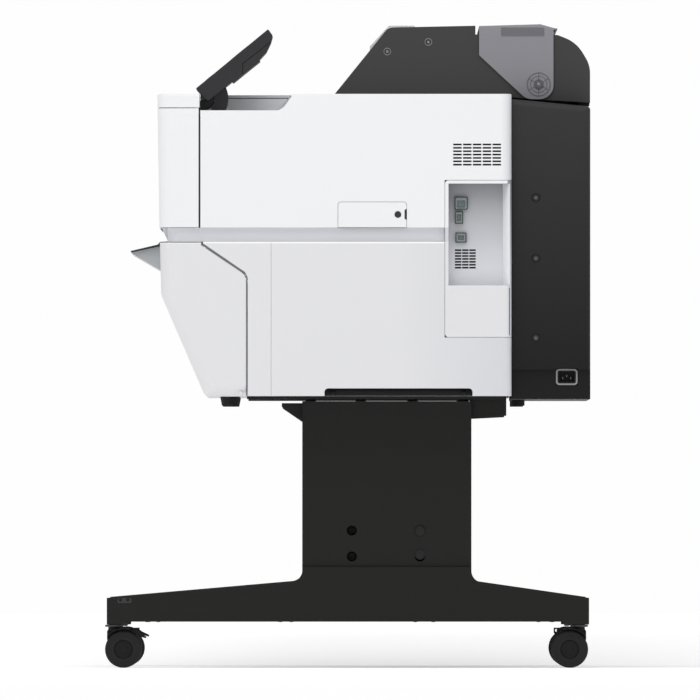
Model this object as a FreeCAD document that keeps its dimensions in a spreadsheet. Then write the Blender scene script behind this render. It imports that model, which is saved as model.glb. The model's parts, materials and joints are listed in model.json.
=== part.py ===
"""A free-standing large format plotter on a castered stand, built as separate pieces.

X runs to the machine's right, Y to its back and Z up. The origin is on the floor, under the middle.
Each size below goes into the sheet. A size text such as "deck - wall" is an expression on that sheet.
"""

import FreeCAD
import Part
import Sketcher
import math
import os
import re
from FreeCAD import Placement, Rotation, Vector

SIZES = [
    # alias, millimetres (or degrees), what it is
    ("half_width", 525, "middle to the outside of a side cover"),
    ("half_depth", 415.3, "middle to the back of the rear cover"),
    ("wall", 3, "wall of the moulded covers"),
    ("plate", 2, "sheet steel"),
    ("seam", 1.2, "thin joint between two fixed covers"),
    ("door_gap", 3, "joint beside a cover that opens"),
    ("slack", 0.4, "gap between pieces that pass each other"),
    ("fit", 0.05, "radial clearance of a pin in its hole"),
    ("leg_x", 405, "middle of the machine to the middle of a leg"),
    ("wheel_radius", 31.5, "caster wheel"),
    ("foot_width", 64, "foot across"),
    ("foot_front", -412.1, "front end of the foot"),
    ("foot_rear", 413.6, "rear end of the foot"),
    ("foot_sole", 79, "underside of the foot above the floor"),
    ("foot_drop", 4.8, "how far the caster seats stand below the sole"),
    ("toe_height", 119.7, "top of the foot at its ends above the floor"),
    ("ankle_height", 148.8, "top of the foot beside the column"),
    ("ankle_radius", 20, "fillet from the foot up to the column"),
    ("foot_top", 172.7, "joint between foot and column above the floor"),
    ("column_front", -77.5, "front face of the column"),
    ("column_back", 212.2, "back face of the column"),
    ("column_width", 50, "column across"),
    ("column_height", 283.9, "column, foot joint to top"),
    ("mount_gap", 8.4, "column top to the underside of the body"),
    ("mount_plate", 5, "plate between the spacers and the body"),
    ("mount_front", -172, "front end of the mounting plate"),
    ("mount_back", 272, "back end of the mounting plate"),
    ("beam_front", -8, "front of the crossbeam"),
    ("beam_back", 140, "back of the crossbeam"),
    ("beam_low", 6, "foot joint to the underside of the crossbeam"),
    ("beam_height", 74, "crossbeam, underside to top"),
    ("beam_screw_front", 7.4, "front row of crossbeam screws"),
    ("beam_screw_back", 124.1, "back row of crossbeam screws"),
    ("beam_screw_low", 18, "foot joint to the lower crossbeam screws"),
    ("beam_screw_rise", 44.4, "lower to upper crossbeam screws"),
    ("beam_hole", 8.6, "radius of the access holes for the crossbeam screws"),
    ("stem_front", -399.8, "front caster stem"),
    ("stem_rear", 396.7, "rear caster stem"),
    ("trail", 16.1, "caster stem to wheel axle"),
    ("stem_radius", 5, "caster stem pin"),
    ("stem_length", 22, "caster stem pin inside the foot"),
    ("collar_radius", 10, "collar under the foot"),
    ("fork_half", 6, "half the thickness of the caster's middle web"),
    ("tyre_half", 20, "half the width over a pair of caster wheels"),
    ("axle_radius", 4, "caster axle"),
    ("hub_radius", 16, "recess in the face of a caster wheel"),
    ("lever_pin", 2.5, "pin of the brake lever"),
    ("hood_radius", 34.5, "inside of the caster's hood"),
    ("collar_height", 11.5, "caster's collar under the foot"),
    ("lower_height", 263.5, "body underside to the neck"),
    ("neck_height", 24.5, "recessed neck between the two halves of the body"),
    ("neck_inset", 8, "how far the neck stands in from the side covers"),
    ("upper_height", 228.5, "neck to the top of the body"),
    ("front_top", -325, "front face at the top of the body"),
    ("front_low", -321.5, "front face at the neck"),
    ("neck_front", -317.7, "front of the neck under the front cover"),
    ("neck_waist", -307.8, "front of the neck at its narrowest"),
    ("shelf_front", -320.8, "front of the lower body at its top"),
    ("chin_front", -318.4, "front of the lower body where the chin starts"),
    ("chin_height", 172.3, "body underside to where the chin starts"),
    ("chin_back", -243.8, "where the chin meets the underside"),
    ("corner_radius", 24, "upright front corners"),
    ("rear_radius", 14, "upright rear corners of the white body"),
    ("body_back", 280.4, "back face of the white body"),
    ("corner_y", -253, "joint behind the front cover and the corner covers"),
    ("pivot_pin", 1.5, "radius of a corner cover's pivot pins"),
    ("ledge_width", 14, "ledges of the side covers above and below the neck, across"),
    ("cap_height", 23.9, "joint of the corner caps below the deck"),
    ("cover_half", 350, "half the width of the front cover"),
    ("tray_depth", 28.1, "tray for the folded control panel below the deck"),
    ("tray_end", -95.8, "back end of the tray at the deck"),
    ("tray_slope", 22, "how far the tray's back end slopes forward"),
    ("tray_wall_x", 347, "inner wall of the tray"),
    ("ink_seam", -172, "upright joint behind the ink cover"),
    ("ink_seam_top", -248.3, "ink cover joint at the neck"),
    ("ink_seam_bend", 209.3, "body underside to the bend of the ink cover joint"),
    ("ink_half", 300, "middle of the machine to the ink covers"),
    ("ink_pivot_y", -182, "ink cover pivot"),
    ("ink_pivot_rise", 5, "ink cover pivot above the underside"),
    ("side_seam", -130.5, "fine upright joint in the lower side cover"),
    ("grip_front", -39.3, "front end of the carrying recess"),
    ("grip_back", 213.8, "back end of the carrying recess"),
    ("grip_height", 13.1, "height of the carrying recess"),
    ("return_width", 40, "rear wall of a side cover, across"),
    ("roll_y", 327.3, "roll axis behind the middle"),
    ("roll_lift", 17.3, "roll axis above the deck"),
    ("cheek_out", 440, "outer face of a roll cheek"),
    ("cheek_width", 40, "thickness of a roll cheek"),
    ("hood_toe", -22.4, "front foot of the roll hood on the deck"),
    ("hood_brow", 67.4, "top of the hood's sloping front"),
    ("brow_height", 111.6, "deck to the top of the sloping front"),
    ("hood_back", 219, "back edge of the hood's top"),
    ("hood_height", 117.8, "deck to the hood's top at its back edge"),
    ("cheek_arc", 92.2, "radius of the back of a roll cheek"),
    ("bay_radius", 80, "inside of the trough the roll lies in"),
    ("lid_gap", 0.8, "cheek face to the lid's side plate"),
    ("lid_rise", 103, "roll axis to the top of the lid"),
    ("lid_front", -102, "roll axis to the front edge of the lid"),
    ("lid_back", 25.3, "roll axis to the back edge of the lid's side plate"),
    ("lid_plate", 3, "thickness of the lid"),
    ("boss_radius", 20.2, "hinge boss of the lid"),
    ("boss_depth", 5, "how far the hinge boss reaches into the cheek"),
    ("spindle_radius", 8, "journal of a roll adapter"),
    ("flange_radius", 62, "flange of a roll adapter"),
    ("core_radius", 25, "adapter hub that goes into the roll's core"),
    ("rear_top", 8.3, "rear cover's front top edge below the deck"),
    ("rear_fall", 12.7, "fall of the rear cover's top edge to the back"),
    ("rear_base", 5, "underside of the rear cover below the body"),
    ("rear_step", 50.3, "height of the inset lower part of the rear cover"),
    ("rear_inset", 10, "depth of that inset"),
    ("inlet_front", 356, "front edge of the power inlet"),
    ("inlet_width", 38, "power inlet across"),
    ("inlet_low", 18.4, "power inlet above the underside"),
    ("inlet_height", 28.7, "power inlet, its height"),
    ("port_front", 166.7, "front edge of the port panel"),
    ("port_low", 100.7, "port panel above the underside"),
    ("port_height", 267.9, "port panel, its height"),
    ("port_depth", 34, "depth of the port panel's moulding"),
    ("recess_low", 189.1, "port recess above the underside"),
    ("recess_height", 174.1, "port recess, its height"),
    ("recess_depth", 28, "port recess, its depth"),
    ("access_front", -16, "front edge of the access cover"),
    ("access_back", 101, "back edge of the access cover"),
    ("access_height", 43.5, "access cover, its height"),
    ("vent_front", 180.7, "front end of the upper vents"),
    ("vent_rise", 106, "neck to the upper vents"),
    ("frame_x", 470, "middle to a side frame"),
    ("frame_front", -160, "front of the side frames"),
    ("frame_back", 240, "back of the side frames"),
    ("frame_drop", 64, "top of the side frames below the deck"),
    ("pan_half", 500, "half the width of the bottom pan"),
    ("pan_rim", 20, "rim of the bottom pan"),
    ("rail_front", -60, "front of the carriage rail"),
    ("rail_depth", 40, "carriage rail, front to back"),
    ("rail_rise", 87, "neck to the underside of the carriage rail"),
    ("rail_height", 40, "carriage rail, its height"),
    ("platen_rise", 6, "neck to the top of the platen"),
    ("platen_half", 326, "half the length of the platen"),
    ("roller_y", 20, "feed roller"),
    ("roller_rise", -6, "neck to the feed roller's axis"),
    ("roller_radius", 12, "feed roller"),
    ("pinch_radius", 8, "pinch rollers"),
    ("park_x", 400, "carriage parked over its caps"),
    ("carriage_half", 55, "half the width of the carriage"),
    ("pulley_x", 440, "belt pulleys"),
    ("pulley_y", -2, "belt pulleys"),
    ("pulley_radius", 10, "belt pulley"),
    ("belt", 1.5, "belt thickness"),
    ("slot_pitch", 48, "cartridge to cartridge"),
    ("cartridge_width", 40, "ink cartridge"),
    ("cartridge_height", 118, "ink cartridge"),
    ("cartridge_depth", 180, "ink cartridge"),
    ("bay_front", -224, "front of the ink bays"),
    ("bay_x", 312, "inner side of the ink bays"),
    ("guide_half", 292, "half the width of the paper guide"),
    ("guide_tip", -372.6, "front edge of the paper guide"),
    ("guide_fall", 13.7, "front edge of the paper guide below the shelf"),
    ("guide_root", 47.1, "lower root of the paper guide below the shelf"),
    ("panel_x", 435, "middle of the control panel"),
    ("panel_half", 79, "half the width of the control panel"),
    ("panel_ear", 19, "width of the panel's hinge ears"),
    ("panel_tilt", 39.4, "degrees that the control panel leans back at rest"),
    ("pivot_y", -248, "control panel pivot"),
    ("pivot_drop", 6.8, "control panel pivot below the deck"),
    ("panel_length", 161.4, "pivot to the far end of the panel"),
    ("panel_face", 19.7, "pivot to the panel's face"),
    ("barrel_radius", 20, "fixed barrel of the panel's hinge"),
    ("sector_radius", 44, "sector that closes the tray behind the barrel"),
    ("key_travel", 1, "travel of a key"),
    ("key_proud", 0.4, "how far a key stands out"),
]

# Heights and places that follow from the sizes
DERIVED = {
    "toe_seat": "(foot_sole - foot_drop)",
    "column_top": "(foot_top + column_height)",
    "base": "(column_top + mount_gap)",
    "shelf": "(base + lower_height)",
    "neck": "(shelf + neck_height)",
    "deck": "(neck + upper_height)",
    "chin": "(base + chin_height)",
    "cap_seam": "(deck - cap_height)",
    "tray": "(deck - tray_depth)",
    "roll_z": "(deck + roll_lift)",
    "brow": "(deck + brow_height)",
    "hood_top": "(deck + hood_height)",
    "pivot_z": "(deck - pivot_drop)",
    "ink_pivot_z": "(base + ink_pivot_rise)",
    "platen_top": "(neck + platen_rise)",
    "roller_z": "(neck + roller_rise)",
    "rail_z": "(neck + rail_rise)",
    "rail_top": "(rail_z + rail_height)",
    "rail_back": "(rail_front + rail_depth)",
    "lean": "((front_low - front_top) / upper_height)",
    "column_half": "(column_width / 2)",
    "foot_half": "(foot_width / 2)",
    "cheek_in": "(cheek_out - cheek_width)",
    "lid_x": "(cheek_out + lid_gap)",
    "bay_z": "(base + pan_rim)",
    "hinge_y": "(corner_y - 5)",
    "corner_pivot_x": "(half_width - 5)",
    "corner_pivot_y": "(corner_y - 5.2)",
    "hinge_z": "(deck - 6)",
    "rear_half": "(half_width - 25)",
}

RIGHT = 1
LEFT = -1

doc = FreeCAD.newDocument("plotter")
sheet = doc.addObject("Spreadsheet::Sheet", "Size")
nodes = {}


def fill_sheet():
    for row, (alias, value, note) in enumerate(SIZES, start=1):
        sheet.set("A%d" % row, alias)
        sheet.set("B%d" % row, str(value))
        sheet.set("C%d" % row, note)
        sheet.setAlias("B%d" % row, alias)
    doc.recompute()


ALIASES = {alias for alias, value, note in SIZES}


def size(text):
    """A size text as an expression on the sheet."""
    def swap(match):
        word = match.group(0)
        if word in DERIVED:
            return size(DERIVED[word])
        if word in ALIASES:
            return "Size." + word
        return word
    return re.sub(r"[a-z_]+", swap, str(text))


def value(text):
    """A size text as a number."""
    return float(sheet.evalExpression(size(text)))


def keep(node, made):
    """Names a finished piece, which becomes the file of that name."""
    made.Label = node
    nodes[node] = made
    return made


def tied(made, prop, text):
    made.setExpression(prop, size(text))


def moved(made, x="0", y="0", z="0"):
    for axis, text in zip("xyz", (x, y, z)):
        tied(made, "Placement.Base." + axis, text)
    return made


# Primitives

def box(name, x, y, z):
    """A block between the two size texts of each axis."""
    made = doc.addObject("Part::Box", name)
    for prop, (low, high) in zip(("Length", "Width", "Height"), (x, y, z)):
        tied(made, prop, "(%s) - (%s)" % (high, low))
    return moved(made, x[0], y[0], z[0])


TURNS = {
    "X": Rotation(Vector(0, 1, 0), 90),
    "Y": Rotation(Vector(1, 0, 0), -90),
    "Z": Rotation(),
}


def rod(name, axis, centre, radius, low, length):
    """A cylinder along an axis; centre holds the other two coordinates, in X, Y, Z order."""
    made = doc.addObject("Part::Cylinder", name)
    made.Placement = Placement(Vector(), TURNS[axis])
    tied(made, "Radius", radius)
    tied(made, "Height", length)
    place = list(centre)
    place.insert("XYZ".index(axis), low)
    return moved(made, *place)


def join(name, pieces):
    made = doc.addObject("Part::MultiFuse", name)
    made.Shapes = pieces
    made.Refine = True
    return made


def carve(name, base, tools):
    """The base with every tool taken away."""
    for count, tool in enumerate(tools):
        made = doc.addObject("Part::Cut", "%s_%d" % (name, count))
        made.Base = base
        made.Tool = tool
        base = made
    return base


def group(name, pieces):
    """Separate solids that are kept together."""
    made = doc.addObject("Part::Compound", name)
    made.Links = pieces
    return made


# Bodies made from sketches

def new_body(name):
    return doc.addObject("PartDesign::Body", name)


def ring(x, y, radius):
    """A circle for a sketch."""
    return ("ring", x, y, radius)


def rect(x, y):
    """A rectangle between two size texts each way."""
    return [(x[0], y[0]), (x[1], y[0]), (x[1], y[1]), (x[0], y[1])]


def fix_point(sketch, geometry, end, x, y):
    for kind, text in (("DistanceX", x), ("DistanceY", y)):
        index = sketch.addConstraint(Sketcher.Constraint(kind, geometry, end, value(text)))
        sketch.setExpression("Constraints[%d]" % index, size(text))


def add_ring(sketch, x, y, radius):
    circle = Part.Circle(Vector(value(x), value(y), 0), Vector(0, 0, 1), value(radius))
    index = sketch.addGeometry(circle, False)
    fix_point(sketch, index, 3, x, y)
    count = sketch.addConstraint(Sketcher.Constraint("Radius", index, value(radius)))
    sketch.setExpression("Constraints[%d]" % count, size(radius))


def corner_arc(before, corner, after, radius):
    """The arc that rounds a corner, and whether it runs counter-clockwise from the first side."""
    first = (before - corner).normalize()
    second = (after - corner).normalize()
    half = first.getAngle(second) / 2
    centre = corner + (first + second).normalize() * (radius / math.sin(half))
    reach = radius / math.tan(half)
    angles = []
    for side in (first, second):
        spoke = corner + side * reach - centre
        angles.append(math.atan2(spoke.y, spoke.x))
    turns_left = first.cross(second).z < 0
    start, stop = angles if turns_left else reversed(angles)
    if stop < start:
        stop += 2 * math.pi
    circle = Part.Circle(centre, Vector(0, 0, 1), radius)
    return Part.ArcOfCircle(circle, start, stop), turns_left, corner + first * reach, corner + second * reach


def add_loop(sketch, corners):
    """A closed outline; a corner's third entry is the radius that rounds it."""
    points = [Vector(value(c[0]), value(c[1]), 0) for c in corners]
    total = len(points)
    arcs = {}
    for i, corner in enumerate(corners):
        if len(corner) == 3:
            arcs[i] = corner_arc(points[i - 1], points[i], points[(i + 1) % total], value(corner[2]))
    lines = []
    for i in range(total):
        j = (i + 1) % total
        start = arcs[i][3] if i in arcs else points[i]
        stop = arcs[j][2] if j in arcs else points[j]
        lines.append(sketch.addGeometry(Part.LineSegment(start, stop), False))
    for i, corner in enumerate(corners):
        came, goes = lines[i - 1], lines[i]
        if i not in arcs:
            sketch.addConstraint(Sketcher.Constraint("Coincident", came, 2, goes, 1))
            fix_point(sketch, goes, 1, corner[0], corner[1])
            continue
        arc, turns_left = arcs[i][:2]
        bend = sketch.addGeometry(arc, False)
        mark = sketch.addGeometry(Part.Point(points[i]), True)
        enters, leaves = (1, 2) if turns_left else (2, 1)
        sketch.addConstraint(Sketcher.Constraint("Tangent", came, 2, bend, enters))
        sketch.addConstraint(Sketcher.Constraint("Tangent", goes, 1, bend, leaves))
        sketch.addConstraint(Sketcher.Constraint("PointOnObject", mark, 1, came))
        sketch.addConstraint(Sketcher.Constraint("PointOnObject", mark, 1, goes))
        fix_point(sketch, mark, 1, corner[0], corner[1])
        index = sketch.addConstraint(Sketcher.Constraint("Radius", bend, value(corner[2])))
        sketch.setExpression("Constraints[%d]" % index, size(corner[2]))


def draw(body, side, loops, low, length):
    """A sketch on one of the body's own planes, at the low end of what it makes."""
    sketch = body.newObject("Sketcher::SketchObject", body.Name + "_sketch")
    flat = next(f for f in body.Origin.OriginFeatures if f.Role == side + "_Plane")
    sketch.AttachmentSupport = [(flat, "")]
    sketch.MapMode = "FlatFace"
    # The XZ plane faces -Y, so its features start from their high end
    level = "-((%s) + (%s))" % (low, length) if side == "XZ" else low
    sketch.setExpression("AttachmentOffset.Base.z", size(level))
    for loop in loops:
        if loop[0] == "ring":
            add_ring(sketch, *loop[1:])
        else:
            add_loop(sketch, loop)
    return sketch


def feature(body, kind, side, loops, low, length):
    sketch = draw(body, side, loops, low, length)
    made = body.newObject("PartDesign::" + kind, "%s_%s" % (body.Name, kind.lower()))
    made.Profile = (sketch, [""])
    tied(made, "Length", length)
    return made


def pad(body, side, loops, low, length):
    """Adds the outline from low, over length, along the plane's axis."""
    feature(body, "Pad", side, loops, low, length)
    doc.recompute()


def pocket(body, side, loops, low, length):
    """Cuts the outline from low, over length, along the plane's axis."""
    before = body.Shape.Volume
    feature(body, "Pocket", side, loops, low, length).Reversed = True
    doc.recompute()
    if body.Shape.Volume > before - 0.01:
        raise ValueError(body.Name + ": a pocket cuts nothing")


def soften(body, radius, wanted):
    """Fillets the edges for which wanted(middle, direction) is true."""
    names = []
    for count, edge in enumerate(body.Shape.Edges, start=1):
        middle = edge.valueAt((edge.FirstParameter + edge.LastParameter) / 2)
        along = edge.tangentAt(edge.FirstParameter)
        if wanted(middle, along):
            names.append("Edge%d" % count)
    base = body.Tip
    made = body.newObject("PartDesign::Fillet", body.Name + "_fillet")
    made.Base = (base, names)
    tied(made, "Radius", radius)
    doc.recompute()


def span(side, inner, outer):
    """Low end and length along X of a stretch given by its distances from the middle."""
    length = "(%s) - (%s)" % (outer, inner)
    return (inner if side == RIGHT else "-(%s)" % outer), length


def on_side(side, text):
    return text if side == RIGHT else "-(%s)" % text


def between(side, inner, outer):
    """The same stretch as the two ends of a box."""
    return (inner, outer) if side == RIGHT else ("-(%s)" % outer, "-(%s)" % inner)


# The stand

def foot(node, side):
    body = new_body(node)
    outline = [
        ("foot_front", "toe_seat"), ("foot_front + 25", "toe_seat"), ("foot_front + 43", "foot_sole"),
        ("foot_rear - 47", "foot_sole"), ("foot_rear - 34", "toe_seat"), ("foot_rear", "toe_seat"),
        ("foot_rear", "toe_height"), ("column_back", "ankle_height", "ankle_radius"),
        ("column_back", "foot_top"), ("column_front", "foot_top"),
        ("column_front", "ankle_height", "ankle_radius"), ("foot_front", "toe_height"),
    ]
    low, length = span(side, "leg_x - foot_half", "leg_x + foot_half")
    pad(body, "YZ", [outline], low, length)
    channel = [
        ("foot_front + 46", "toe_seat - 5"), ("foot_rear - 50", "toe_seat - 5"), ("foot_rear - 50", "toe_height + 2"),
        ("column_back", "ankle_height - 4"), ("column_front", "ankle_height - 4"),
        ("foot_front + 46", "toe_height"),
    ]
    inside, across = span(side, "leg_x - foot_half + wall", "leg_x + foot_half - wall")
    pocket(body, "YZ", [channel], inside, across)
    x = on_side(side, "leg_x")
    for stem in ("stem_front", "stem_rear"):
        pocket(body, "XY", [ring(x, stem, "stem_radius + fit")], "toe_seat", "stem_length + 2")
    keep(node, body)


def column(node, side):
    body = new_body(node)
    across = between(side, "leg_x - column_half", "leg_x + column_half")
    inside = between(side, "leg_x - column_half + plate", "leg_x + column_half - plate")
    outer = rect(across, ("column_front", "column_back"))
    inner = rect(inside, ("column_front + plate", "column_back - plate"))
    pad(body, "XY", [outer, inner], "foot_top", "column_height")
    holes = []
    for height in ("foot_top + beam_screw_low", "foot_top + beam_screw_low + beam_screw_rise"):
        holes.append(ring("beam_screw_front", height, "beam_hole"))
        holes.append(ring("beam_screw_back", height, "beam_hole"))
    low, length = span(side, "leg_x", "leg_x + foot_width")
    pocket(body, "YZ", holes, low, length)
    keep(node, body)


def crossbeam():
    body = new_body("crossbeam")
    low = "foot_top + beam_low"
    outer = rect(("beam_front", "beam_back"), (low, low + " + beam_height"))
    inner = rect(("beam_front + plate", "beam_back - plate"),
                 (low + " + plate", low + " + beam_height - plate"))
    pad(body, "YZ", [outer, inner], "-(leg_x - column_half)", "2 * (leg_x - column_half)")
    return body


def stand_brackets():
    """The plates that carry the body, with the spacers that they are bolted down on."""
    pieces = []
    for side in (RIGHT, LEFT):
        across = between(side, "leg_x - column_half - 4", "leg_x + column_half + 4")
        lug = between(side, "leg_x - column_half + plate", "leg_x + column_half - plate")
        low, length = span(side, "leg_x - 12", "leg_x + 12")
        plate = box("mount_plate", across, ("mount_front", "mount_back"), ("base - mount_plate", "base"))
        fixed = [plate]
        for y in ("column_front + plate + 12", "column_front + 100", "column_back - 100",
                  "column_back - plate - 12"):
            fixed.append(rod("spacer", "Z", (on_side(side, "leg_x"), y), "9", "column_top",
                             "mount_gap - mount_plate"))
            fixed.append(box("lug", lug, (y + " - 12", y + " + 12"), ("column_top - 3", "column_top")))
        body = new_body("gussets")
        front = [("column_front - 35", "column_top - 3.3"), ("column_front - 35", "column_top - 10"),
                 ("column_front", "column_top - 34"), ("column_front", "column_top - 3.3")]
        back = [("column_back", "base - mount_plate"), ("column_back", "column_top - 28"),
                ("mount_back", "column_top - 25"), ("mount_back", "base - mount_plate")]
        pad(body, "YZ", [back], low, length)
        fixed.append(body)
        nose = new_body("nose")
        pad(nose, "YZ", [front], low, length)
        fixed.append(nose)
        pieces.append(join("bracket", fixed))
    keep("stand_crossbeam", group("stand_steel", pieces + [crossbeam()]))


def inboard(axle, towards, distance):
    """A place that far from a caster's axle, measured towards the middle of the machine."""
    return "%s + %g" % (axle, towards * distance)


def caster(node, side, stem, towards):
    """The swivelling fork with its hood; the wheel trails towards the middle."""
    x = on_side(side, "leg_x")
    axle = "%s + %d * trail" % (stem, towards)
    body = new_body(node)
    low, length = span(side, "leg_x - fork_half", "leg_x + fork_half")
    web = [
        (inboard(axle, towards, -28.1), "wheel_radius + 16.5"), (inboard(axle, towards, -28.1), "wheel_radius + 31.5"),
        (inboard(axle, towards, -26), "toe_seat - 8"), (inboard(axle, towards, 22.5), "toe_seat - 8"),
        (inboard(axle, towards, 22.5), "wheel_radius + 26"), (inboard(axle, towards, 12), "wheel_radius + 12"),
        (inboard(axle, towards, 12), "wheel_radius - 8"), (inboard(axle, towards, -8), "wheel_radius - 8"),
    ]
    pad(body, "YZ", [web], low, length)
    lever = ring(inboard(axle, towards, 17.5), "wheel_radius + 30", "lever_pin + fit")
    pocket(body, "YZ", [ring(axle, "wheel_radius", "axle_radius + fit"), lever], low, length)
    hood = new_body(node + "_hood")
    wide, across = span(side, "leg_x - tyre_half", "leg_x + tyre_half")
    pad(hood, "YZ", [ring(axle, "wheel_radius", "hood_radius + 2.5"),
                     ring(axle, "wheel_radius", "hood_radius")], wide, across)
    shade = rect((axle + " - 50", axle + " + 50"), ("-20", "wheel_radius + 14"))
    pocket(hood, "YZ", [shade], wide, across)
    for near, far in ((11, 60), (-28.1, -60)):
        ends = (inboard(axle, towards, near), inboard(axle, towards, far))
        pocket(hood, "YZ", [rect(ends, ("0", "toe_seat"))], wide, across)
    collar = rod(node + "_collar", "Z", (x, stem), "collar_radius", "toe_seat - collar_height", "collar_height")
    pin = rod(node + "_pin", "Z", (x, stem), "stem_radius", "toe_seat - 1", "stem_length + 1")
    keep(node, join(node + "_fork", [body, hood, collar, pin]))


def caster_wheel(node, side, stem, towards):
    axle = "%s + %d * trail" % (stem, towards)
    body = new_body(node)
    gap = "fork_half + slack"
    low, length = span(side, "leg_x - tyre_half", "leg_x + tyre_half")
    pad(body, "YZ", [ring(axle, "wheel_radius", "wheel_radius")], low, length)
    soften(body, "3", lambda middle, along: True)
    middle, across = span(side, "leg_x - (%s)" % gap, "leg_x + %s" % gap)
    pocket(body, "YZ", [ring(axle, "wheel_radius", "wheel_radius + 1"),
                        ring(axle, "wheel_radius", "axle_radius")], middle, across)
    for inner, outer in (("leg_x - tyre_half", "leg_x - tyre_half + 3"),
                         ("leg_x + tyre_half - 3", "leg_x + tyre_half")):
        face, depth = span(side, inner, outer)
        pocket(body, "YZ", [ring(axle, "wheel_radius", "hub_radius")], face, depth)
    keep(node, body)


def brake_lever(node, side):
    """A pedal over the front wheels, on a pin through the fork's web."""
    axle = "(stem_front + trail)"
    body = new_body(node)
    low, length = span(side, "leg_x - 13", "leg_x + 13")
    pedal = [(axle + " + 14.2", "wheel_radius + 30"), (axle + " + 14.2", "wheel_radius + 33.5"),
             (axle + " + 19", "wheel_radius + 34"), (axle + " + 27", "wheel_radius + 28"),
             (axle + " + 39.5", "wheel_radius + 22"), (axle + " + 38.5", "wheel_radius + 19"),
             (axle + " + 26", "wheel_radius + 22.5"), (axle + " + 20", "wheel_radius + 27")]
    pad(body, "YZ", [pedal], low, length)
    gap, across = span(side, "leg_x - fork_half - slack", "leg_x + fork_half + slack")
    room = rect((axle + " + 10", axle + " + 23.5"), ("wheel_radius + 20", "wheel_radius + 40"))
    pocket(body, "YZ", [room], gap, across)
    pin = rod(node + "_pin", "X", (axle + " + 17.5", "wheel_radius + 30"), "lever_pin", low, length)
    keep(node, join(node + "_parts", [body, pin]))


def stand():
    for side, name in ((RIGHT, "right"), (LEFT, "left")):
        foot("stand_foot_" + name, side)
        column("stand_column_" + name, side)
        for end, stem, towards in (("front", "stem_front", 1), ("rear", "stem_rear", -1)):
            caster("caster_fork_%s_%s" % (end, name), side, stem, towards)
            caster_wheel("caster_wheel_%s_%s" % (end, name), side, stem, towards)
        brake_lever("brake_lever_" + name, side)
    stand_brackets()


# The chassis and what it carries

def chassis():
    """Bottom pan with its rim, and the two side frames that carry the print engine."""
    pan = new_body("pan")
    edge = rect(("-pan_half", "pan_half"), ("ink_seam + 4", "body_back - 10"))
    floor = rect(("plate - pan_half", "pan_half - plate"),
                 ("ink_seam + 4 + plate", "body_back - 10 - plate"))
    pad(pan, "XY", [edge], "base", "pan_rim")
    pocket(pan, "XY", [floor], "base + plate", "pan_rim")
    pieces = [pan]
    for side in (RIGHT, LEFT):
        frame = new_body("side_frame")
        low, length = span(side, "frame_x", "frame_x + plate")
        outline = rect(("frame_front", "frame_back"), ("base + plate", "deck - frame_drop"))
        windows = [
            rect(("frame_front + 40", "frame_back - 60"), ("base + 60", "shelf - 60")),
            ring("roller_y", "roller_z", "5 + fit"),
            ring("roller_y", "roller_z + roller_radius + pinch_radius + slack", "4 + fit"),
        ]
        pad(frame, "YZ", [outline] + windows, low, length)
        pieces.append(frame)
        for x in LUGS:
            lug = box("lug", between(side, x, x + " + 3"), ("ink_pivot_y - 6", "ink_seam + 4 + plate"),
                      ("base + 0.3", "base + pan_rim / 2"))
            bore = rod("lug_bore", "X", ("ink_pivot_y", "ink_pivot_z"), "3 + fit",
                       span(side, x + " - 1", x + " + 4")[0], "5")
            pieces.append(carve("lug_cut", lug, [bore]))
    keep("chassis", join("chassis_parts", pieces + [carriage_rail()]))


# Inner faces of the lugs that the ink covers turn on
LUGS = ("ink_half + 7", "pan_half - 6")


def carriage_rail():
    body = new_body("carriage_rail")
    outer = rect(("rail_front", "rail_back"), ("rail_z", "rail_top"))
    inner = rect(("rail_front + plate", "rail_back - plate"), ("rail_z + plate", "rail_top - plate"))
    pad(body, "YZ", [outer, inner], "-frame_x", "2 * frame_x")
    return body


def platen():
    body = new_body("platen")
    back = "roller_y - roller_radius - 3"
    plan = rect(("-frame_x", "frame_x"), ("frame_front + 10", back))
    pad(body, "XY", [plan], "platen_top - 12", "4")
    rib = rect(("8 - frame_x", "12 - frame_x"), ("frame_front + 12", back + " - 2"))
    pad(body, "XY", [rib], "platen_top - 8", "8")
    repeat(body, 29, 1, (2 * value("frame_x") - 20) / 28, 1)
    caps = rect(("park_x - 32", "park_x + 32"), ("rail_front - 82", "rail_front - 8"))
    pocket(body, "XY", [caps], "platen_top - 13", "14")
    keep("platen", body)


def rollers():
    """The feed roller and the pinch rollers that turn against it."""
    feed = [
        rod("feed", "X", ("roller_y", "roller_z"), "roller_radius", "-platen_half", "2 * platen_half"),
        rod("shaft", "X", ("roller_y", "roller_z"), "5", "-(frame_x + 8)", "2 * (frame_x + 8)"),
    ]
    keep("feed_roller", join("feed_parts", feed))
    high = "roller_z + roller_radius + pinch_radius + slack"
    pinch = [rod("pinch_shaft", "X", ("roller_y", high), "4", "-(frame_x + 8)", "2 * (frame_x + 8)")]
    for count in range(-5, 6):
        low = "%d * platen_half / 6 - 14" % count
        pinch.append(rod("pinch", "X", ("roller_y", high), "pinch_radius", low, "28"))
    keep("pinch_rollers", join("pinch_parts", pinch))


def carriage():
    """The print head carriage: a case in front of the rail and a clip over it to the belt."""
    across = ("park_x - carriage_half", "park_x + carriage_half")
    case = new_body("case")
    front = "rail_front - 96"
    outline = [(front, "platen_top + 4"), ("rail_front - slack", "platen_top + 4"),
               ("rail_front - slack", "rail_top + 14"), (front + " + 30", "rail_top + 14", "10"),
               (front, "rail_top - 22", "10")]
    pad(case, "YZ", [outline], across[0], "2 * carriage_half")
    clip = box("clip", across, ("rail_front - 2", "pulley_y - pulley_radius - belt - 0.7"),
               ("rail_top + slack", "rail_top + 4"))
    tongue = box("tongue", ("park_x - 12", "park_x + 12"),
                 ("pulley_y - pulley_radius - belt - 4", "pulley_y - pulley_radius - belt - 0.7"),
                 ("rail_top + 2", "rail_top + 24"))
    keep("carriage", join("carriage_parts", [case, clip, tongue]))


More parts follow.
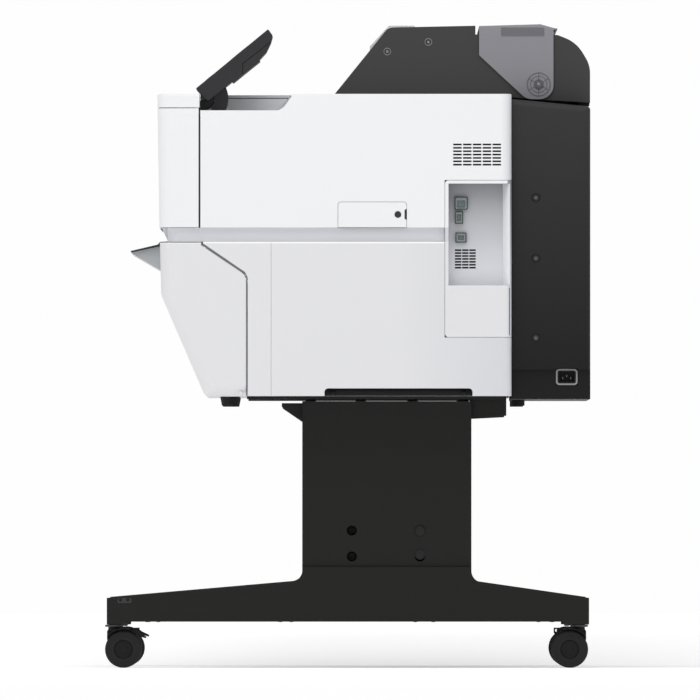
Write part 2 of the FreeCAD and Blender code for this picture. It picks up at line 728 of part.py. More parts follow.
def carriage_drive():
    """The belt, the motor under the drive pulley and the bracket under the idler."""
    belt = new_body("belt_loop")
    half = "(pulley_radius + fit)"
    loops = []
    for grow in ("0", "belt"):
        reach = "(%s + %s)" % (half, grow)
        ends = ("-pulley_x - " + reach, "pulley_x + " + reach)
        sides = ("pulley_y - " + reach, "pulley_y + " + reach)
        bend = reach + " - 0.01"
        loops.append([corner + (bend,) for corner in rect(ends, sides)])
    pad(belt, "XY", loops, "rail_top + 13", "8")
    pieces = [belt]
    for x, low in (("-pulley_x", "rail_z - 30"), ("pulley_x", "rail_top - 6")):
        pieces.append(join("mount", [
            rod("can", "Z", (x, "pulley_y"), "18 - 0.01", low, "rail_top - (%s)" % low),
            rod("post", "Z", (x, "pulley_y"), "3", "rail_top - 1", "25"),
        ]))
    pieces.append(join("feed_motor", [
        box("gearbox", ("frame_x + plate", "frame_x + plate + 12"), ("roller_y + 16", "roller_y + 60"),
            ("roller_z - 20", "roller_z + 30")),
        rod("motor", "X", ("roller_y + 38", "roller_z + 5"), "16", "frame_x + plate + 11", "20"),
    ]))
    keep("carriage_drive", group("drive_parts", pieces))


def pulley(node, x):
    wheel = [rod("rim", "Z", (x, "pulley_y"), "pulley_radius", "rail_top + 12.5", "9")]
    for low in ("rail_top + 11", "rail_top + 21.5"):
        wheel.append(rod("flange", "Z", (x, "pulley_y"), "pulley_radius + 2", low, "1.3"))
    core = rod("bore", "Z", (x, "pulley_y"), "3 + fit", "rail_top", "40")
    keep(node, carve(node + "_cut", join(node + "_rim", wheel), [core]))


def capping_station():
    """The caps under the parked head, and the box that takes the waste ink."""
    base = box("cap_base", ("park_x - 58", "frame_x"), ("rail_front - 92", "rail_front - 6"),
               ("platen_top - 60", "platen_top - 12"))
    pieces = [base]
    for count in range(3):
        y = "rail_front - %d" % (80 - 26 * count)
        pieces.append(box("cap", ("park_x - 30", "park_x + 30"), (y, y + " + 18"),
                          ("platen_top - 13", "platen_top + 2")))
    keep("capping_station", join("cap_parts", pieces))


def electronics():
    """The power supply on the pan and the interface board behind the ports."""
    supply = box("supply", ("-pan_half + 40", "-pan_half + 230"), ("frame_back - 190", "frame_back - 8"),
                 ("base + plate", "base + 84"))
    slots = [box("slot", ("-pan_half + 30", "-pan_half + 240"),
                 ("frame_back - %d" % y, "frame_back - %d" % (y - 4)),
                 ("base + 76", "base + 90")) for y in range(180, 20, -12)]
    board = box("board", ("half_width - port_depth - 1.6", "half_width - port_depth"),
                ("port_front + 6", "body_back - 8"), ("base + recess_low", "base + recess_low + 160"))
    keep("electronics", group("boards", [carve("supply_cut", supply, [join("slots", slots)]), board]))


def ink_bay(side, count):
    """An open-fronted rack with a cell for each cartridge."""
    end = "bay_x + %d * slot_pitch + 3" % count
    body = new_body("rack")
    low, length = span(side, "bay_x", end)
    back = "bay_front + cartridge_depth + 8"
    pad(body, "YZ", [rect(("bay_front", back), ("bay_z", "bay_z + cartridge_height + 7"))], low, length)
    for cell in range(count):
        start = "bay_x + 3 + %d * slot_pitch" % cell
        wide, across = span(side, start, start + " + slot_pitch - 3")
        room = rect(("bay_z + 3", "bay_z + cartridge_height + 4"),
                    (wide, "%s + %s" % (wide, across)))
        cavity = [(across_x, height) for height, across_x in room]
        pocket(body, "XZ", [cavity], "bay_front - 1", "cartridge_depth + 6")
    return body


def cartridges(node, side, count):
    pieces = []
    for cell in range(count):
        start = "bay_x + 3 + %d * slot_pitch + (slot_pitch - 3 - cartridge_width) / 2" % cell
        across = between(side, start, start + " + cartridge_width")
        low = "bay_z + 3 + slack"
        case = box("cartridge", across, ("bay_front - 7", "bay_front - 7 + cartridge_depth"),
                   (low, low + " + cartridge_height - 4"))
        thumb = box("thumb", between(side, start + " + 12", start + " + cartridge_width - 12"),
                    ("bay_front - 8", "bay_front - 3"), (low + " + 44", low + " + 70"))
        pieces.append(carve("cartridge_cut", case, [thumb]))
    keep(node, group(node + "_set", pieces))


def engine():
    chassis()
    platen()
    rollers()
    carriage()
    carriage_drive()
    pulley("drive_pulley", "-pulley_x")
    pulley("idler_pulley", "pulley_x")
    capping_station()
    electronics()
    keep("ink_bays", group("racks", [ink_bay(RIGHT, 3), ink_bay(LEFT, 2)]))
    cartridges("cartridges_right", RIGHT, 3)
    cartridges("cartridges_left", LEFT, 2)


# The white covers

def ink_cover(node, side):
    """A shell open to the back and top, whose side wraps round to the slanting joint."""
    low, length = span(side, "ink_half + seam", "half_width")
    shell = new_body(node)
    seam = "door_gap / 2"
    outline = [
        ("ink_seam - " + seam, "base", ), ("chin_back", "base", "8"), ("chin_front", "chin", "14"),
        ("shelf_front", "shelf - seam"), ("ink_seam_top - 2", "shelf - seam"),
        ("ink_seam_top - 2", "shelf - 5.5"), ("ink_seam - 6", "base + ink_seam_bend", "12"),
        ("ink_seam - " + seam, "base + ink_seam_bend - 9"),
    ]
    pad(shell, "YZ", [outline], low, length)
    soften(shell, "corner_radius", corner_test(side, "half_width", "chin_front - 3", "chin_front + 1", "chin"))
    inner = new_body(node + "_inside")
    deep, across = span(side, "ink_half + seam + wall", "half_width - wall")
    hollow = [
        ("ink_seam + 40", "base + wall"), ("chin_back + wall * 0.66", "base + wall", "6"),
        ("chin_front + wall", "chin", "12"), ("shelf_front + wall", "shelf - seam - wall"),
        ("ink_seam + 40", "shelf - seam - wall"),
    ]
    pad(inner, "YZ", [hollow], deep, across)
    soften(inner, "corner_radius - wall",
           corner_test(side, "half_width - wall", "chin_front - 3", "chin_front + 5", "chin"))
    room = ("ink_pivot_y - 9", "ink_seam + 5")
    notches = [box("notch", between(side, x + " - 1", x + " + 4"), room, ("base - 1", "base + wall + 1"))
               for x in LUGS]
    shell = carve(node + "_cut", shell, [inner] + notches)
    pins = [rod("ink_pin", "X", ("ink_pivot_y", "ink_pivot_z"), "3", *span(side, start, stop)) for start, stop in (
        ("ink_half + seam + 1", "ink_half + 12"), ("pan_half - 8", "half_width - 1"))]
    keep(node, join(node + "_parts", [shell] + pins))


def corner_test(side, x, front, back, above):
    """Picks the upright front edge of a side face."""
    place = value(on_side(side, x))
    near, far, floor = value(front), value(back), value(above)

    def wanted(middle, along):
        upright = abs(along.z) > 0.9
        return upright and abs(middle.x - place) < 0.01 and near < middle.y < far and middle.z > floor
    return wanted


def lower_front_panel():
    body = new_body("lower_front_panel")
    across = "ink_half"
    outline = [
        ("ink_seam + 4", "base"), ("chin_back", "base", "8"), ("chin_front", "chin", "14"),
        ("shelf_front", "shelf"), ("neck_waist + 4", "shelf"), ("neck_waist + 4", "shelf - wall"),
        ("shelf_front + wall", "shelf - wall"), ("chin_front + wall", "chin", "11"),
        ("chin_back + wall * 0.66", "base + wall", "5"), ("ink_seam + 4", "base + wall"),
    ]
    pad(body, "YZ", [outline], "-" + across, "2 * " + across)
    keep("lower_front_panel", body)


def side_plan(side, front, inset):
    """Plan of a side cover: a wall along the side that turns round the rear corner."""
    outer = "half_width - %s" % inset
    def x(text):
        return on_side(side, text)
    return [
        (x(outer), front), (x(outer), "body_back", "rear_radius"),
        (x(outer + " - return_width"), "body_back"), (x(outer + " - return_width"), "body_back - wall"),
        (x(outer + " - wall"), "body_back - wall", "rear_radius - wall"), (x(outer + " - wall"), front),
    ]


def ledge(body, side, front, low):
    """The ledge of a side cover that the neck band lies against."""
    across = between(side, "half_width - wall - ledge_width", "half_width - wall / 2")
    pad(body, "XY", [rect(across, (front, "body_back - rear_radius"))], low, "wall")


def lower_side_cover(node, side):
    body = new_body(node)
    low, length = span(side, "half_width - return_width - 5", "half_width + 5")
    front = "ink_seam_top + 1.5"
    pad(body, "XY", [side_plan(side, front, "0")], "base", "lower_height")
    ledge(body, side, front, "shelf - wall")
    ahead = [
        (front + " - 10", "base - 5"), ("ink_seam + door_gap / 2", "base - 5"),
        ("ink_seam + door_gap / 2", "base + ink_seam_bend - 6.5"),
        ("ink_seam - 3", "base + ink_seam_bend + 2.5", "12"),
        (front, "shelf - 3"), (front + " - 10", "shelf - 3"),
    ]
    pocket(body, "YZ", [ahead], low, length)
    grip = [("grip_front", "base - 5"), ("grip_back", "base - 5"),
            ("grip_back", "base + grip_height", "6.5"), ("grip_front", "base + grip_height", "6.5")]
    pocket(body, "YZ", [grip], low, length)
    face, depth = span(side, "half_width - 1", "half_width + 1")
    pocket(body, "YZ", [rect(("side_seam - 0.5", "side_seam + 0.5"), ("base - 1", "shelf + 1"))], face, depth)
    if side == RIGHT:
        pocket(body, "YZ", [port_opening()], low, length)
    keep(node, body)


def port_opening():
    """Where the port panel cuts through the covers and the neck."""
    return rect(("port_front - 0.6", "body_back + 5"),
                ("base + port_low - 0.6", "base + port_low + port_height + 0.6"))


def neck_band():
    """The grey band round the body, with the paper outlet in its front."""
    body = new_body("neck_band")
    outer = "half_width - neck_inset"
    inner = outer + " - 10"
    ringed = [
        [("-(%s)" % outer, "neck_waist", "corner_radius - 6"), (outer, "neck_waist", "corner_radius - 6"),
         (outer, "body_back - 4", "rear_radius"), ("-(%s)" % outer, "body_back - 4", "rear_radius")],
        rect(("-(%s)" % inner, inner), ("neck_waist + 14", "body_back - 8")),
    ]
    pad(body, "XY", ringed, "shelf", "neck_height")
    low = "-(%s - corner_radius)" % outer
    brow = [("neck_front", "neck"), ("neck_waist", "shelf + 3"), ("neck_waist + 8", "shelf + 3"),
            ("neck_waist + 8", "neck")]
    pad(body, "YZ", [brow], low, "-2 * (%s)" % low)
    slot = rect(("-(platen_half + 4)", "platen_half + 4"), ("shelf + 6", "neck - 4"))
    pocket(body, "XZ", [slot], "front_top", "60")
    for side in (RIGHT, LEFT):
        lug = rect(between(side, inner + " + 2", "half_width - 1.5"), ("corner_pivot_y - 4", "corner_pivot_y + 3.5"))
        pad(body, "XY", [lug], "neck - 3", "3")
        bore = ring(on_side(side, "corner_pivot_x"), "corner_pivot_y", "pivot_pin + fit")
        pocket(body, "XY", [bore], "neck - 4", "5")
    low, length = span(RIGHT, "half_width - port_depth - 1", "half_width")
    pocket(body, "YZ", [port_opening()], low, length)
    keep("neck_band", body)


def repeat(body, columns, rows, pitch_y, pitch_z):
    """Repeats the body's last pocket or pad along Y and Z of its sketch."""
    last = body.Tip
    sketch = last.Profile[0]
    made = body.newObject("PartDesign::LinearPattern", body.Name + "_pattern")
    made.Originals = [last]
    made.Direction = (sketch, ["H_Axis"])
    made.Mode = "Spacing"
    made.Offset = pitch_y
    made.Occurrences = columns
    made.Direction2 = (sketch, ["V_Axis"])
    made.Mode2 = "Spacing"
    made.Offset2 = pitch_z
    made.Occurrences2 = rows + 1 if rows > 1 else 1  # a second direction leaves out its last row
    body.Tip = made
    doc.recompute()


def upper_side_cover(node, side):
    body = new_body(node)
    front = "corner_y + door_gap / 2"
    pad(body, "XY", [side_plan(side, front, "0")], "neck", "upper_height")
    ledge(body, side, front, "neck")
    top = value("deck")
    outside = value(on_side(side, "half_width"))
    soften(body, "2", lambda middle, along: abs(middle.z - top) < 0.01 and abs(middle.x - outside) < 0.01)
    low, length = span(side, "half_width - return_width - 5", "half_width + 5")
    slot = rect(("vent_front", "vent_front + 14.5"), ("neck + vent_rise", "neck + vent_rise + 2.9"))
    pocket(body, "YZ", [slot], low, length)
    repeat(body, 5, 7, 16.8, 5.75)
    if side == RIGHT:
        notch = [("corner_y - 5", "tray"), ("tray_end - tray_slope", "tray", "9"),
                 ("tray_end - 13", "tray + 5.4", "6"), ("tray_end", "deck - 5"), ("tray_end", "deck + 5"),
                 ("corner_y - 5", "deck + 5")]
        pocket(body, "YZ", [notch], low, length)
        pocket(body, "YZ", [port_opening()], low, length)
        hatch = [("access_front - 0.6", "neck - 5"), ("access_back + 0.6", "neck - 5"),
                 ("access_back + 0.6", "neck + access_height + 0.6", "5.6"),
                 ("access_front - 0.6", "neck + access_height + 0.6", "5.6")]
        pocket(body, "YZ", [hatch], low, length)
    keep(node, body)


def access_cover():
    body = new_body("access_cover")
    low, length = span(RIGHT, "half_width - wall", "half_width")
    outline = [("access_front", "neck + 0.4"), ("access_back", "neck + 0.4"),
               ("access_back", "neck + 13"), ("access_back - 3.5", "neck + 15"), ("access_back - 3.5", "neck + 30"),
               ("access_back", "neck + 32"), ("access_back", "neck + access_height", "5"),
               ("access_front", "neck + access_height", "5")]
    pad(body, "YZ", [outline], low, length)
    face, depth = span(RIGHT, "half_width - 1.5", "half_width")
    pocket(body, "YZ", [ring("access_back - 14.8", "neck + 22.3", "6")], face, depth)
    keep("access_cover", body)


def port_panel():
    """The recessed panel for the cables, with its jacks, and the plain panel below."""
    body = new_body("port_panel")
    low, length = span(RIGHT, "half_width - port_depth", "half_width")
    high = "base + port_low + port_height"
    outline = [("port_front", "base + port_low", "6"), ("body_back", "base + port_low"), ("body_back", high),
               ("port_front", high, "6")]
    pad(body, "YZ", [outline], low, length)
    back = value("body_back")
    side = value("half_width")
    soften(body, "rear_radius - 2", lambda middle, along: abs(middle.y - back) < 0.01
           and abs(middle.x - side) < 0.01)
    recess = rect(("port_front + 6", "body_back - 3"),
                  ("base + recess_low", "base + recess_low + recess_height"))
    face, depth = span(RIGHT, "half_width - recess_depth", "half_width")
    pocket(body, "YZ", [recess], face, depth)
    hollow = rect(("port_front + 3", "body_back - 3"), ("base + port_low + 3", "base + recess_low - 4"))
    inner, across = span(RIGHT, "half_width - port_depth", "half_width - 3")
    pocket(body, "YZ", [hollow], inner, across)
    jacks = []
    for front, wide, rise, tall in ((17, 21.2, 130.5, 20.5), (17.6, 12.7, 106.3, 19.7), (18.5, 17.6, 74, 15.9)):
        y = "port_front + %g" % front
        z = "base + recess_low + %g" % rise
        jacks.append(rect((y, "%s + %g" % (y, wide)), (z, "%s + %g" % (z, tall))))
    pad(body, "YZ", jacks, "half_width - recess_depth - 1", "7")
    sockets = []
    for front, wide, rise, tall in ((20.5, 14, 133, 13), (20, 8, 109.5, 13), (22, 10.5, 77.5, 9)):
        y = "port_front + %g" % front
        z = "base + recess_low + %g" % rise
        sockets.append(rect((y, "%s + %g" % (y, wide)), (z, "%s + %g" % (z, tall))))
    pocket(body, "YZ", sockets, "half_width - recess_depth", "7")
    slot = rect(("port_front + 17", "port_front + 28"), ("base + recess_low + 29", "base + recess_low + 31.9"))
    pocket(body, "YZ", [slot], "half_width - port_depth - 1", "port_depth - recess_depth + 2")
    repeat(body, 3, 7, 12.3, 5.0)
    keep("port_panel", body)


def top_cover():
    """The deck, the tray for the folded panel and the caps over the corner covers."""
    inside = "half_width - wall"
    front = "corner_y + door_gap / 2"
    deck = new_body("deck_plate")
    back = ("body_back - wall", "rear_radius - wall")
    plan = [("-(%s)" % inside, front), (inside, front), (inside,) + back, ("-(%s)" % inside,) + back]
    pad(deck, "XY", [plan], "deck - wall", "wall")
    hole = box("tray_hole", ("tray_wall_x", "half_width"), (front + " - 5", "tray_end"), ("deck - 20", "deck + 5"))
    bay = rod("bay_hole", "X", ("roll_y", "roll_z"), "bay_radius + wall + 0.6", "-cheek_in", "2 * cheek_in")
    tray = new_body("tray_parts")
    profile = [(front, "tray - wall"), ("tray_end - tray_slope", "tray - wall", "12"),
               ("tray_end + wall - 12", "tray + 2", "9"), ("tray_end + wall", "deck - 5"),
               ("tray_end + wall", "deck"), ("tray_end", "deck"), ("tray_end", "deck - 5"),
               ("tray_end - 13", "tray + 5.4", "6"), ("tray_end - tray_slope", "tray", "9"), (front, "tray")]
    pad(tray, "YZ", [profile], "tray_wall_x", inside + " - tray_wall_x")
    wall = box("tray_side", ("tray_wall_x - wall", "tray_wall_x"), (front, "tray_end + wall"),
               ("tray - wall", "deck"))
    slot = box("sector_slot", ("panel_x - panel_half + panel_ear - 1", "panel_x + panel_half - panel_ear + 1"),
               ("pivot_y + 0.3", "pivot_y + sector_radius + 1.5"), ("tray - 10", "tray + 1"))
    plate = carve("deck_cut", deck, [hole, bay])
    deck_piece = carve("top_cut", join("top_parts", [plate, tray, wall]), [slot])
    keep("top_cover", group("top_pieces", [deck_piece] + corner_caps()))


def corner_cap(side):
    """The fixed cap over a corner cover, hollow from below."""
    outer = new_body("cap")
    low, length = span(side, "cover_half + 2", "half_width")
    back = "corner_y"
    pad(outer, "YZ", [[("front_top", "deck"), ("front_top + lean * cap_height", "cap_seam + seam / 2"),
                       (back, "cap_seam + seam / 2"), (back, "deck")]], low, length)
    soften(outer, "corner_radius", corner_test(side, "half_width", "front_top - 3", "front_top + 3", "cap_seam"))
    top = value("deck")
    line = value(back)
    soften(outer, "4", lambda middle, along: abs(middle.z - top) < 0.01 and middle.y < line - 1
           and abs(middle.x) > value("cover_half + 3"))
    inner = new_body("cap_inside")
    deep, across = span(side, "cover_half + 2 + wall", "half_width - wall")
    pad(inner, "YZ", [rect(("front_top + 12", back + " - wall"), ("cap_seam - 1", "deck - wall"))], deep, across)
    soften(inner, "corner_radius - wall",
           corner_test(side, "half_width - wall", "front_top + 11", "front_top + 13", "cap_seam - 2"))
    return outer, inner


def corner_caps():
    pieces = []
    for side in (RIGHT, LEFT):
        outer, inner = corner_cap(side)
        hole = rod("pin_hole", "X", ("hinge_y", "hinge_z"), "3 + fit",
                   span(side, "cover_half", "cover_half + 12")[0], "12")
        cap = carve("cap_cut", outer, [inner, hole])
        low = "cap_seam + seam / 2"
        boss = box("cap_boss", between(side, "corner_pivot_x - 4", "half_width - 1"),
                   ("corner_pivot_y - 4", "corner_y - 1"), (low, low + " + 6"))
        bore = pivot_rod("cap_bore", side, "pivot_pin + fit", "cap_seam - 1", "7")
        pieces.append(carve("boss_cut", join("cap_and_boss", [cap, boss]), [bore]))
    return pieces


def pivot_rod(name, side, radius, low, length):
    """A pin or bore on the axis that a corner cover turns on."""
    return rod(name, "Z", (on_side(side, "corner_pivot_x"), "corner_pivot_y"), radius, low, length)


def face_at(height):
    """Front face of the upper body at a height."""
    return "(front_low - lean * ((%s) - neck))" % height


def corner_cover(node, side):
    """The cover of a front corner: a front wall and a side wall, open inside."""
    bottom = "neck + 0.5"
    top = "cap_seam - seam / 2"
    back = "corner_y - door_gap / 2"
    low, length = span(side, "cover_half + 2", "half_width")
    outer = new_body(node)
    pad(outer, "YZ", [[(back, bottom), (back, top), (face_at(top), top), (face_at(bottom), bottom)]], low, length)
    soften(outer, "corner_radius", corner_test(side, "half_width", "front_top - 3", "front_low + 3", "neck"))
    inner = new_body(node + "_inside")
    deep, across = span(side, "cover_half - 5", "half_width - wall")
    floor = bottom + " + wall"
    pad(inner, "YZ", [[(back + " + 20", floor), (back + " + 20", top + " + 5"),
                       (face_at(top) + " + wall", top + " + 5"),
                       (face_at(bottom) + " + wall", floor)]], deep, across)
    soften(inner, "corner_radius - wall",
           corner_test(side, "half_width - wall", "front_top", "front_low + 6", "neck"))
    pieces = [carve(node + "_cut", outer, [inner])]
    for low, pin_low in ((bottom, "neck - 3"), (top + " - 8", top + " - 7")):
        pieces.append(box("knuckle", between(side, "corner_pivot_x - 3", "half_width - 1"),
                          ("corner_pivot_y - 3", "corner_pivot_y + 3"), (low, low + " + 8")))
        pieces.append(pivot_rod("pivot", side, "pivot_pin", pin_low, "11"))
    keep(node, join(node + "_parts", pieces))


def front_cover():
    """The cover over the print area, its top turned back to the hinge, and its window."""
    bottom = "neck + 0.5"
    body = new_body("front_cover_shell")
    outline = [
        ("corner_y - 3", "deck"), ("front_top", "deck", "8"), (face_at(bottom), bottom),
        (face_at(bottom) + " + wall", bottom), ("front_top + wall", "deck - wall", "5"),
        ("corner_y - 3", "deck - wall"),
    ]
    pad(body, "YZ", [outline], "-cover_half", "2 * cover_half")
    opening = rect(("60 - cover_half", "cover_half - 60"), ("neck + 66", "deck - 34"))
    rounded = [corner + ("10",) for corner in opening]
    pocket(body, "XZ", [rounded], "front_top - 5", "20")
    hinge = [rod("barrel", "X", ("hinge_y", "hinge_z"), "4", "-(cover_half - 8)", "2 * (cover_half - 8)"),
             rod("hinge_pin", "X", ("hinge_y", "hinge_z"), "3", "-(cover_half + 9)", "2 * (cover_half + 9)")]
    keep("front_cover", join("front_cover_parts", [body] + hinge))
    window = new_body("front_window")
    pane = [(face_at("neck + 66.2") + " + 0.3", "neck + 66.2"), (face_at("deck - 34.2") + " + 0.3", "deck - 34.2"),
            (face_at("deck - 34.2") + " + 2.6", "deck - 34.2"), (face_at("neck + 66.2") + " + 2.6", "neck + 66.2")]
    half = "(cover_half - 60.2)"
    pad(window, "YZ", [pane], "-" + half, "2 * " + half)
    corners = value(half)
    soften(window, "9.8", lambda middle, along: abs(abs(middle.x) - corners) < 0.01 and abs(along.y) > 0.9)
    keep("front_window", window)


def eject_guide():
    """The black shelf that guides the paper out, on a grey wedge."""
    top = new_body("guide_plate")
    pad(top, "YZ", [[("guide_tip", "shelf - guide_fall"), ("shelf_front - 5", "shelf - 2.6"),
                     ("shelf_front - 1", "shelf + 2"), ("neck_waist - 0.3", "shelf + 2.8"),
                     ("neck_waist - 0.3", "shelf"), ("shelf_front", "shelf"), ("shelf_front", "shelf - 4.8"),
                     ("guide_tip + 1.2", "shelf - guide_fall - 2.3")]], "-guide_half", "2 * guide_half")
    wedge = new_body("guide_wedge")
    root = "shelf_front + (chin_front - shelf_front) * guide_root / (shelf - chin)"
    pad(wedge, "YZ", [[("guide_tip + 2", "shelf - guide_fall - 2.2"), ("shelf_front", "shelf - 4.8"),
                       (root, "shelf - guide_root"), ("guide_tip + 2.2", "shelf - guide_fall - 4")]],
        "8 - guide_half", "2 * (guide_half - 8)")
    keep("eject_guide", group("guide_parts", [top, wedge]))


def covers():
    for side, name in ((RIGHT, "right"), (LEFT, "left")):
        ink_cover("ink_cover_" + name, side)
        lower_side_cover("lower_cover_" + name, side)
        upper_side_cover("side_cover_" + name, side)
        corner_cover("corner_cover_" + name, side)
    lower_front_panel()
    neck_band()
    top_cover()
    front_cover()
    eject_guide()
    access_cover()
    port_panel()


# The black roll unit and the rear cover

def hood_line(y):
    """Height of the hood's sloping front at a depth."""
    return "(deck + 0.3 + ((%s) - hood_toe) * (brow_height - 0.3) / (hood_brow - hood_toe))" % y


def cheek_outline():
    """Side view of the roll unit: sloping hood, flat top and a back that follows the roll."""
    arc = "cheek_arc"
    return [
        ("hood_toe", "deck + 0.3"), ("hood_brow", "brow", "9"), ("hood_brow + 8", "brow + 3.2", "6"),
        ("hood_back", "hood_top"), ("hood_back", "hood_top - 15"), ("hood_back + 6", "hood_top - 15"),
        ("roll_y + %s * 0.24" % arc, "hood_top - 15"),
        ("roll_y + %s * 0.36" % arc, "roll_z + %s * 0.915" % arc),
        ("roll_y + %s * 0.70" % arc, "roll_z + %s * 0.78" % arc, "60"),
        ("half_depth", "roll_z + %s * 0.36" % arc, "50"),
        ("half_depth", "deck - 14"), ("roll_y + 6.7", "deck - rear_top - 1"), ("body_back + 0.8", "deck - 5"),
        ("body_back + 0.8", "deck + 0.3"),
    ]


def lid_outline():
    """Side plate of the lid: straight edges that run down to a round end on the hinge."""
    return [
        ("roll_y + lid_front", "roll_z + lid_rise - 3"), ("roll_y + lid_front", "roll_z + 50", "4"),
        ("roll_y - 21", "roll_z - lid_back", "lid_back - 1"), ("roll_y + lid_back", "roll_z - lid_back", "24"),
        ("roll_y + lid_back", "roll_z + lid_rise - 7"), ("roll_y + 3", "roll_z + lid_rise"),
    ]


def roll_cheek(node, side):
    body = new_body(node)
    low, length = span(side, "cheek_in", "cheek_out")
    pad(body, "YZ", [cheek_outline()], low, length)
    face, depth = span(side, "cheek_out - boss_depth - 1", "cheek_out")
    pocket(body, "YZ", [ring("roll_y", "roll_z", "boss_radius + 1.5")], face, depth)
    deep, reach = span(side, "cheek_out - boss_depth - 11", "cheek_out - boss_depth")
    pocket(body, "YZ", [ring("roll_y", "roll_z", "6 + fit")], deep, reach)
    inner, run = span(side, "cheek_in", "cheek_in + 20")
    pocket(body, "YZ", [ring("roll_y", "roll_z", "spindle_radius + fit")], inner, run)
    seats = [ring("hood_brow + 0.7", "brow - 38", "6.5"), ring("hood_brow + 71", "brow - 21.7", "6.5")]
    top, shallow = span(side, "cheek_out - 1.6", "cheek_out")
    pocket(body, "YZ", seats, top, shallow)
    keep(node, body)


def roll_housing():
    """The hood, its floor and the trough for the roll, between the cheeks."""
    shell = new_body("housing_shell")
    low, length = "-cheek_in", "2 * cheek_in"
    pad(shell, "YZ", [cheek_outline()], low, length)
    hollow = [("hood_toe + 12", "deck + 3.5"), ("hood_brow + 3", "brow - 4", "6"), ("hood_back - 3", "hood_top - 3.5"),
              ("hood_back - 3", "deck + 3.5")]
    inside, run = "3 - cheek_in", "2 * (cheek_in - 3)"
    pocket(shell, "YZ", [hollow], inside, run)
    mouth = rect(("hood_back", "roll_y + lid_back + 1"), ("roll_z", "hood_top + 10"))
    pocket(shell, "YZ", [mouth], low, length)
    outer = rod("trough", "X", ("roll_y", "roll_z"), "bay_radius + wall", low, length)
    top = box("trough_cut", (low, "cheek_in"), ("roll_y - bay_radius - 10", "roll_y + lid_back + 1"),
              ("deck + 0.3", "roll_z + 120"))
    space = rod("roll_space", "X", ("roll_y", "roll_z"), "bay_radius", low, length)
    lower = carve("trough_half", outer, [top])
    keep("roll_housing", carve("housing_cut", join("housing_parts", [shell, lower]), [space]))


def feed_strip():
    """The clear strip on the hood's brow, where the paper slides in."""
    body = new_body("feed_strip")
    low = "hood_brow - 26"
    outline = [
        (low, hood_line(low)), (low + " - 3", hood_line(low) + " + 3.8"),
        ("hood_brow + 3.5", "brow + 7.2", "4"), ("hood_brow + 46.5", "brow + 7.2"),
        ("hood_brow + 49", "brow + 4.2"), ("hood_brow + 8", "brow + 3.35"), ("hood_brow", "brow"),
    ]
    pad(body, "YZ", [outline], "-(cheek_in - 20)", "2 * (cheek_in - 20)")
    keep("feed_strip", body)


def roll_lid():
    """The smoked lid: two side plates, the top between them and its lip."""
    pieces = []
    for side in (RIGHT, LEFT):
        plate = new_body("lid_side")
        low, length = span(side, "lid_x", "lid_x + lid_plate")
        pad(plate, "YZ", [lid_outline()], low, length)
        face, depth = span(side, "cheek_out - boss_depth", "lid_x + 0.5")
        rings = [ring("roll_y", "roll_z", "boss_radius"), ring("roll_y", "roll_z", "boss_radius - 2.5")]
        pad(plate, "YZ", [rings[0], rings[1]], face, depth)
        pieces.append(plate)
        pin_low, pin_run = span(side, "cheek_out - boss_depth - 10", "lid_x + 0.5")
        pieces.append(rod("lid_pin", "X", ("roll_y", "roll_z"), "6", pin_low, pin_run))
        for count in range(6):
            spoke = doc.addObject("Part::Box", "spoke")
            tied(spoke, "Length", depth)
            tied(spoke, "Width", "boss_radius - 1")
            spoke.Height = 2
            turn = Rotation(Vector(1, 0, 0), 30 + 60 * count)
            spoke.Placement = Placement(Vector(), turn)
            moved(spoke, face, "roll_y", "roll_z")
            pieces.append(spoke)
    top = new_body("lid_top")
    outline = [
        ("roll_y + lid_front", "roll_z + lid_rise - 3"), ("roll_y + 3", "roll_z + lid_rise"),
        ("roll_y + lid_back + 1", "roll_z + lid_rise - 6.5"), ("roll_y + lid_back + 6.7", "roll_z + lid_rise - 7.2"),
        ("roll_y + lid_back + 6.7", "roll_z + lid_rise - 8.7"), ("roll_y + lid_back", "roll_z + lid_rise - 9.2"),
        ("roll_y + 3", "roll_z + lid_rise - 3"), ("roll_y + lid_front", "roll_z + lid_rise - 6"),
    ]
    pad(top, "YZ", [outline], "-(lid_x + lid_plate)", "2 * (lid_x + lid_plate)")
    pieces.append(top)
    heads = [screw("lid_screw", side, "lid_x + lid_plate", "roll_y", "roll_z", "6", "2") for side in (RIGHT, LEFT)]
    keep("roll_lid", group("lid_and_screws", [join("lid_parts", pieces)] + heads))


def roll_adapter(node, side):
    """Flange, journal and the hub that goes into the roll's core."""
    axis = ("roll_y", "roll_z")
    body = new_body(node)
    low, length = span(side, "cheek_in - 12", "cheek_in - 6")
    pad(body, "YZ", [ring(*axis, "flange_radius")], low, length)
    low, length = span(side, "cheek_in - 44", "cheek_in - 11")
    pad(body, "YZ", [ring(*axis, "core_radius"), ring(*axis, "core_radius - 4")], low, length)
    low, length = span(side, "cheek_in - 7", "cheek_in + 18")
    pad(body, "YZ", [ring(*axis, "spindle_radius")], low, length)
    low, length = span(side, "cheek_in - 7", "cheek_in - 1")
    pad(body, "YZ", [ring(*axis, "spindle_radius + 8")], low, length)
    holes = []
    for count in range(6):
        turn = "%d" % (60 * count + 30)
        holes.append(ring("roll_y + 42 * cos(%s)" % turn, "roll_z + 42 * sin(%s)" % turn, "9"))
    low, length = span(side, "cheek_in - 12", "cheek_in - 6")
    pocket(body, "YZ", holes, low, length)
    keep(node, body)


def rear_outline(grow):
    back = "half_depth - %s" % grow
    return [
        ("body_back + 0.6", "base - rear_base + %s" % grow), (back, "base - rear_base + %s" % grow),
        (back, "deck - rear_top - rear_fall - %s" % grow, "7"), ("body_back + 0.6", "deck - rear_top - %s" % grow),
    ]


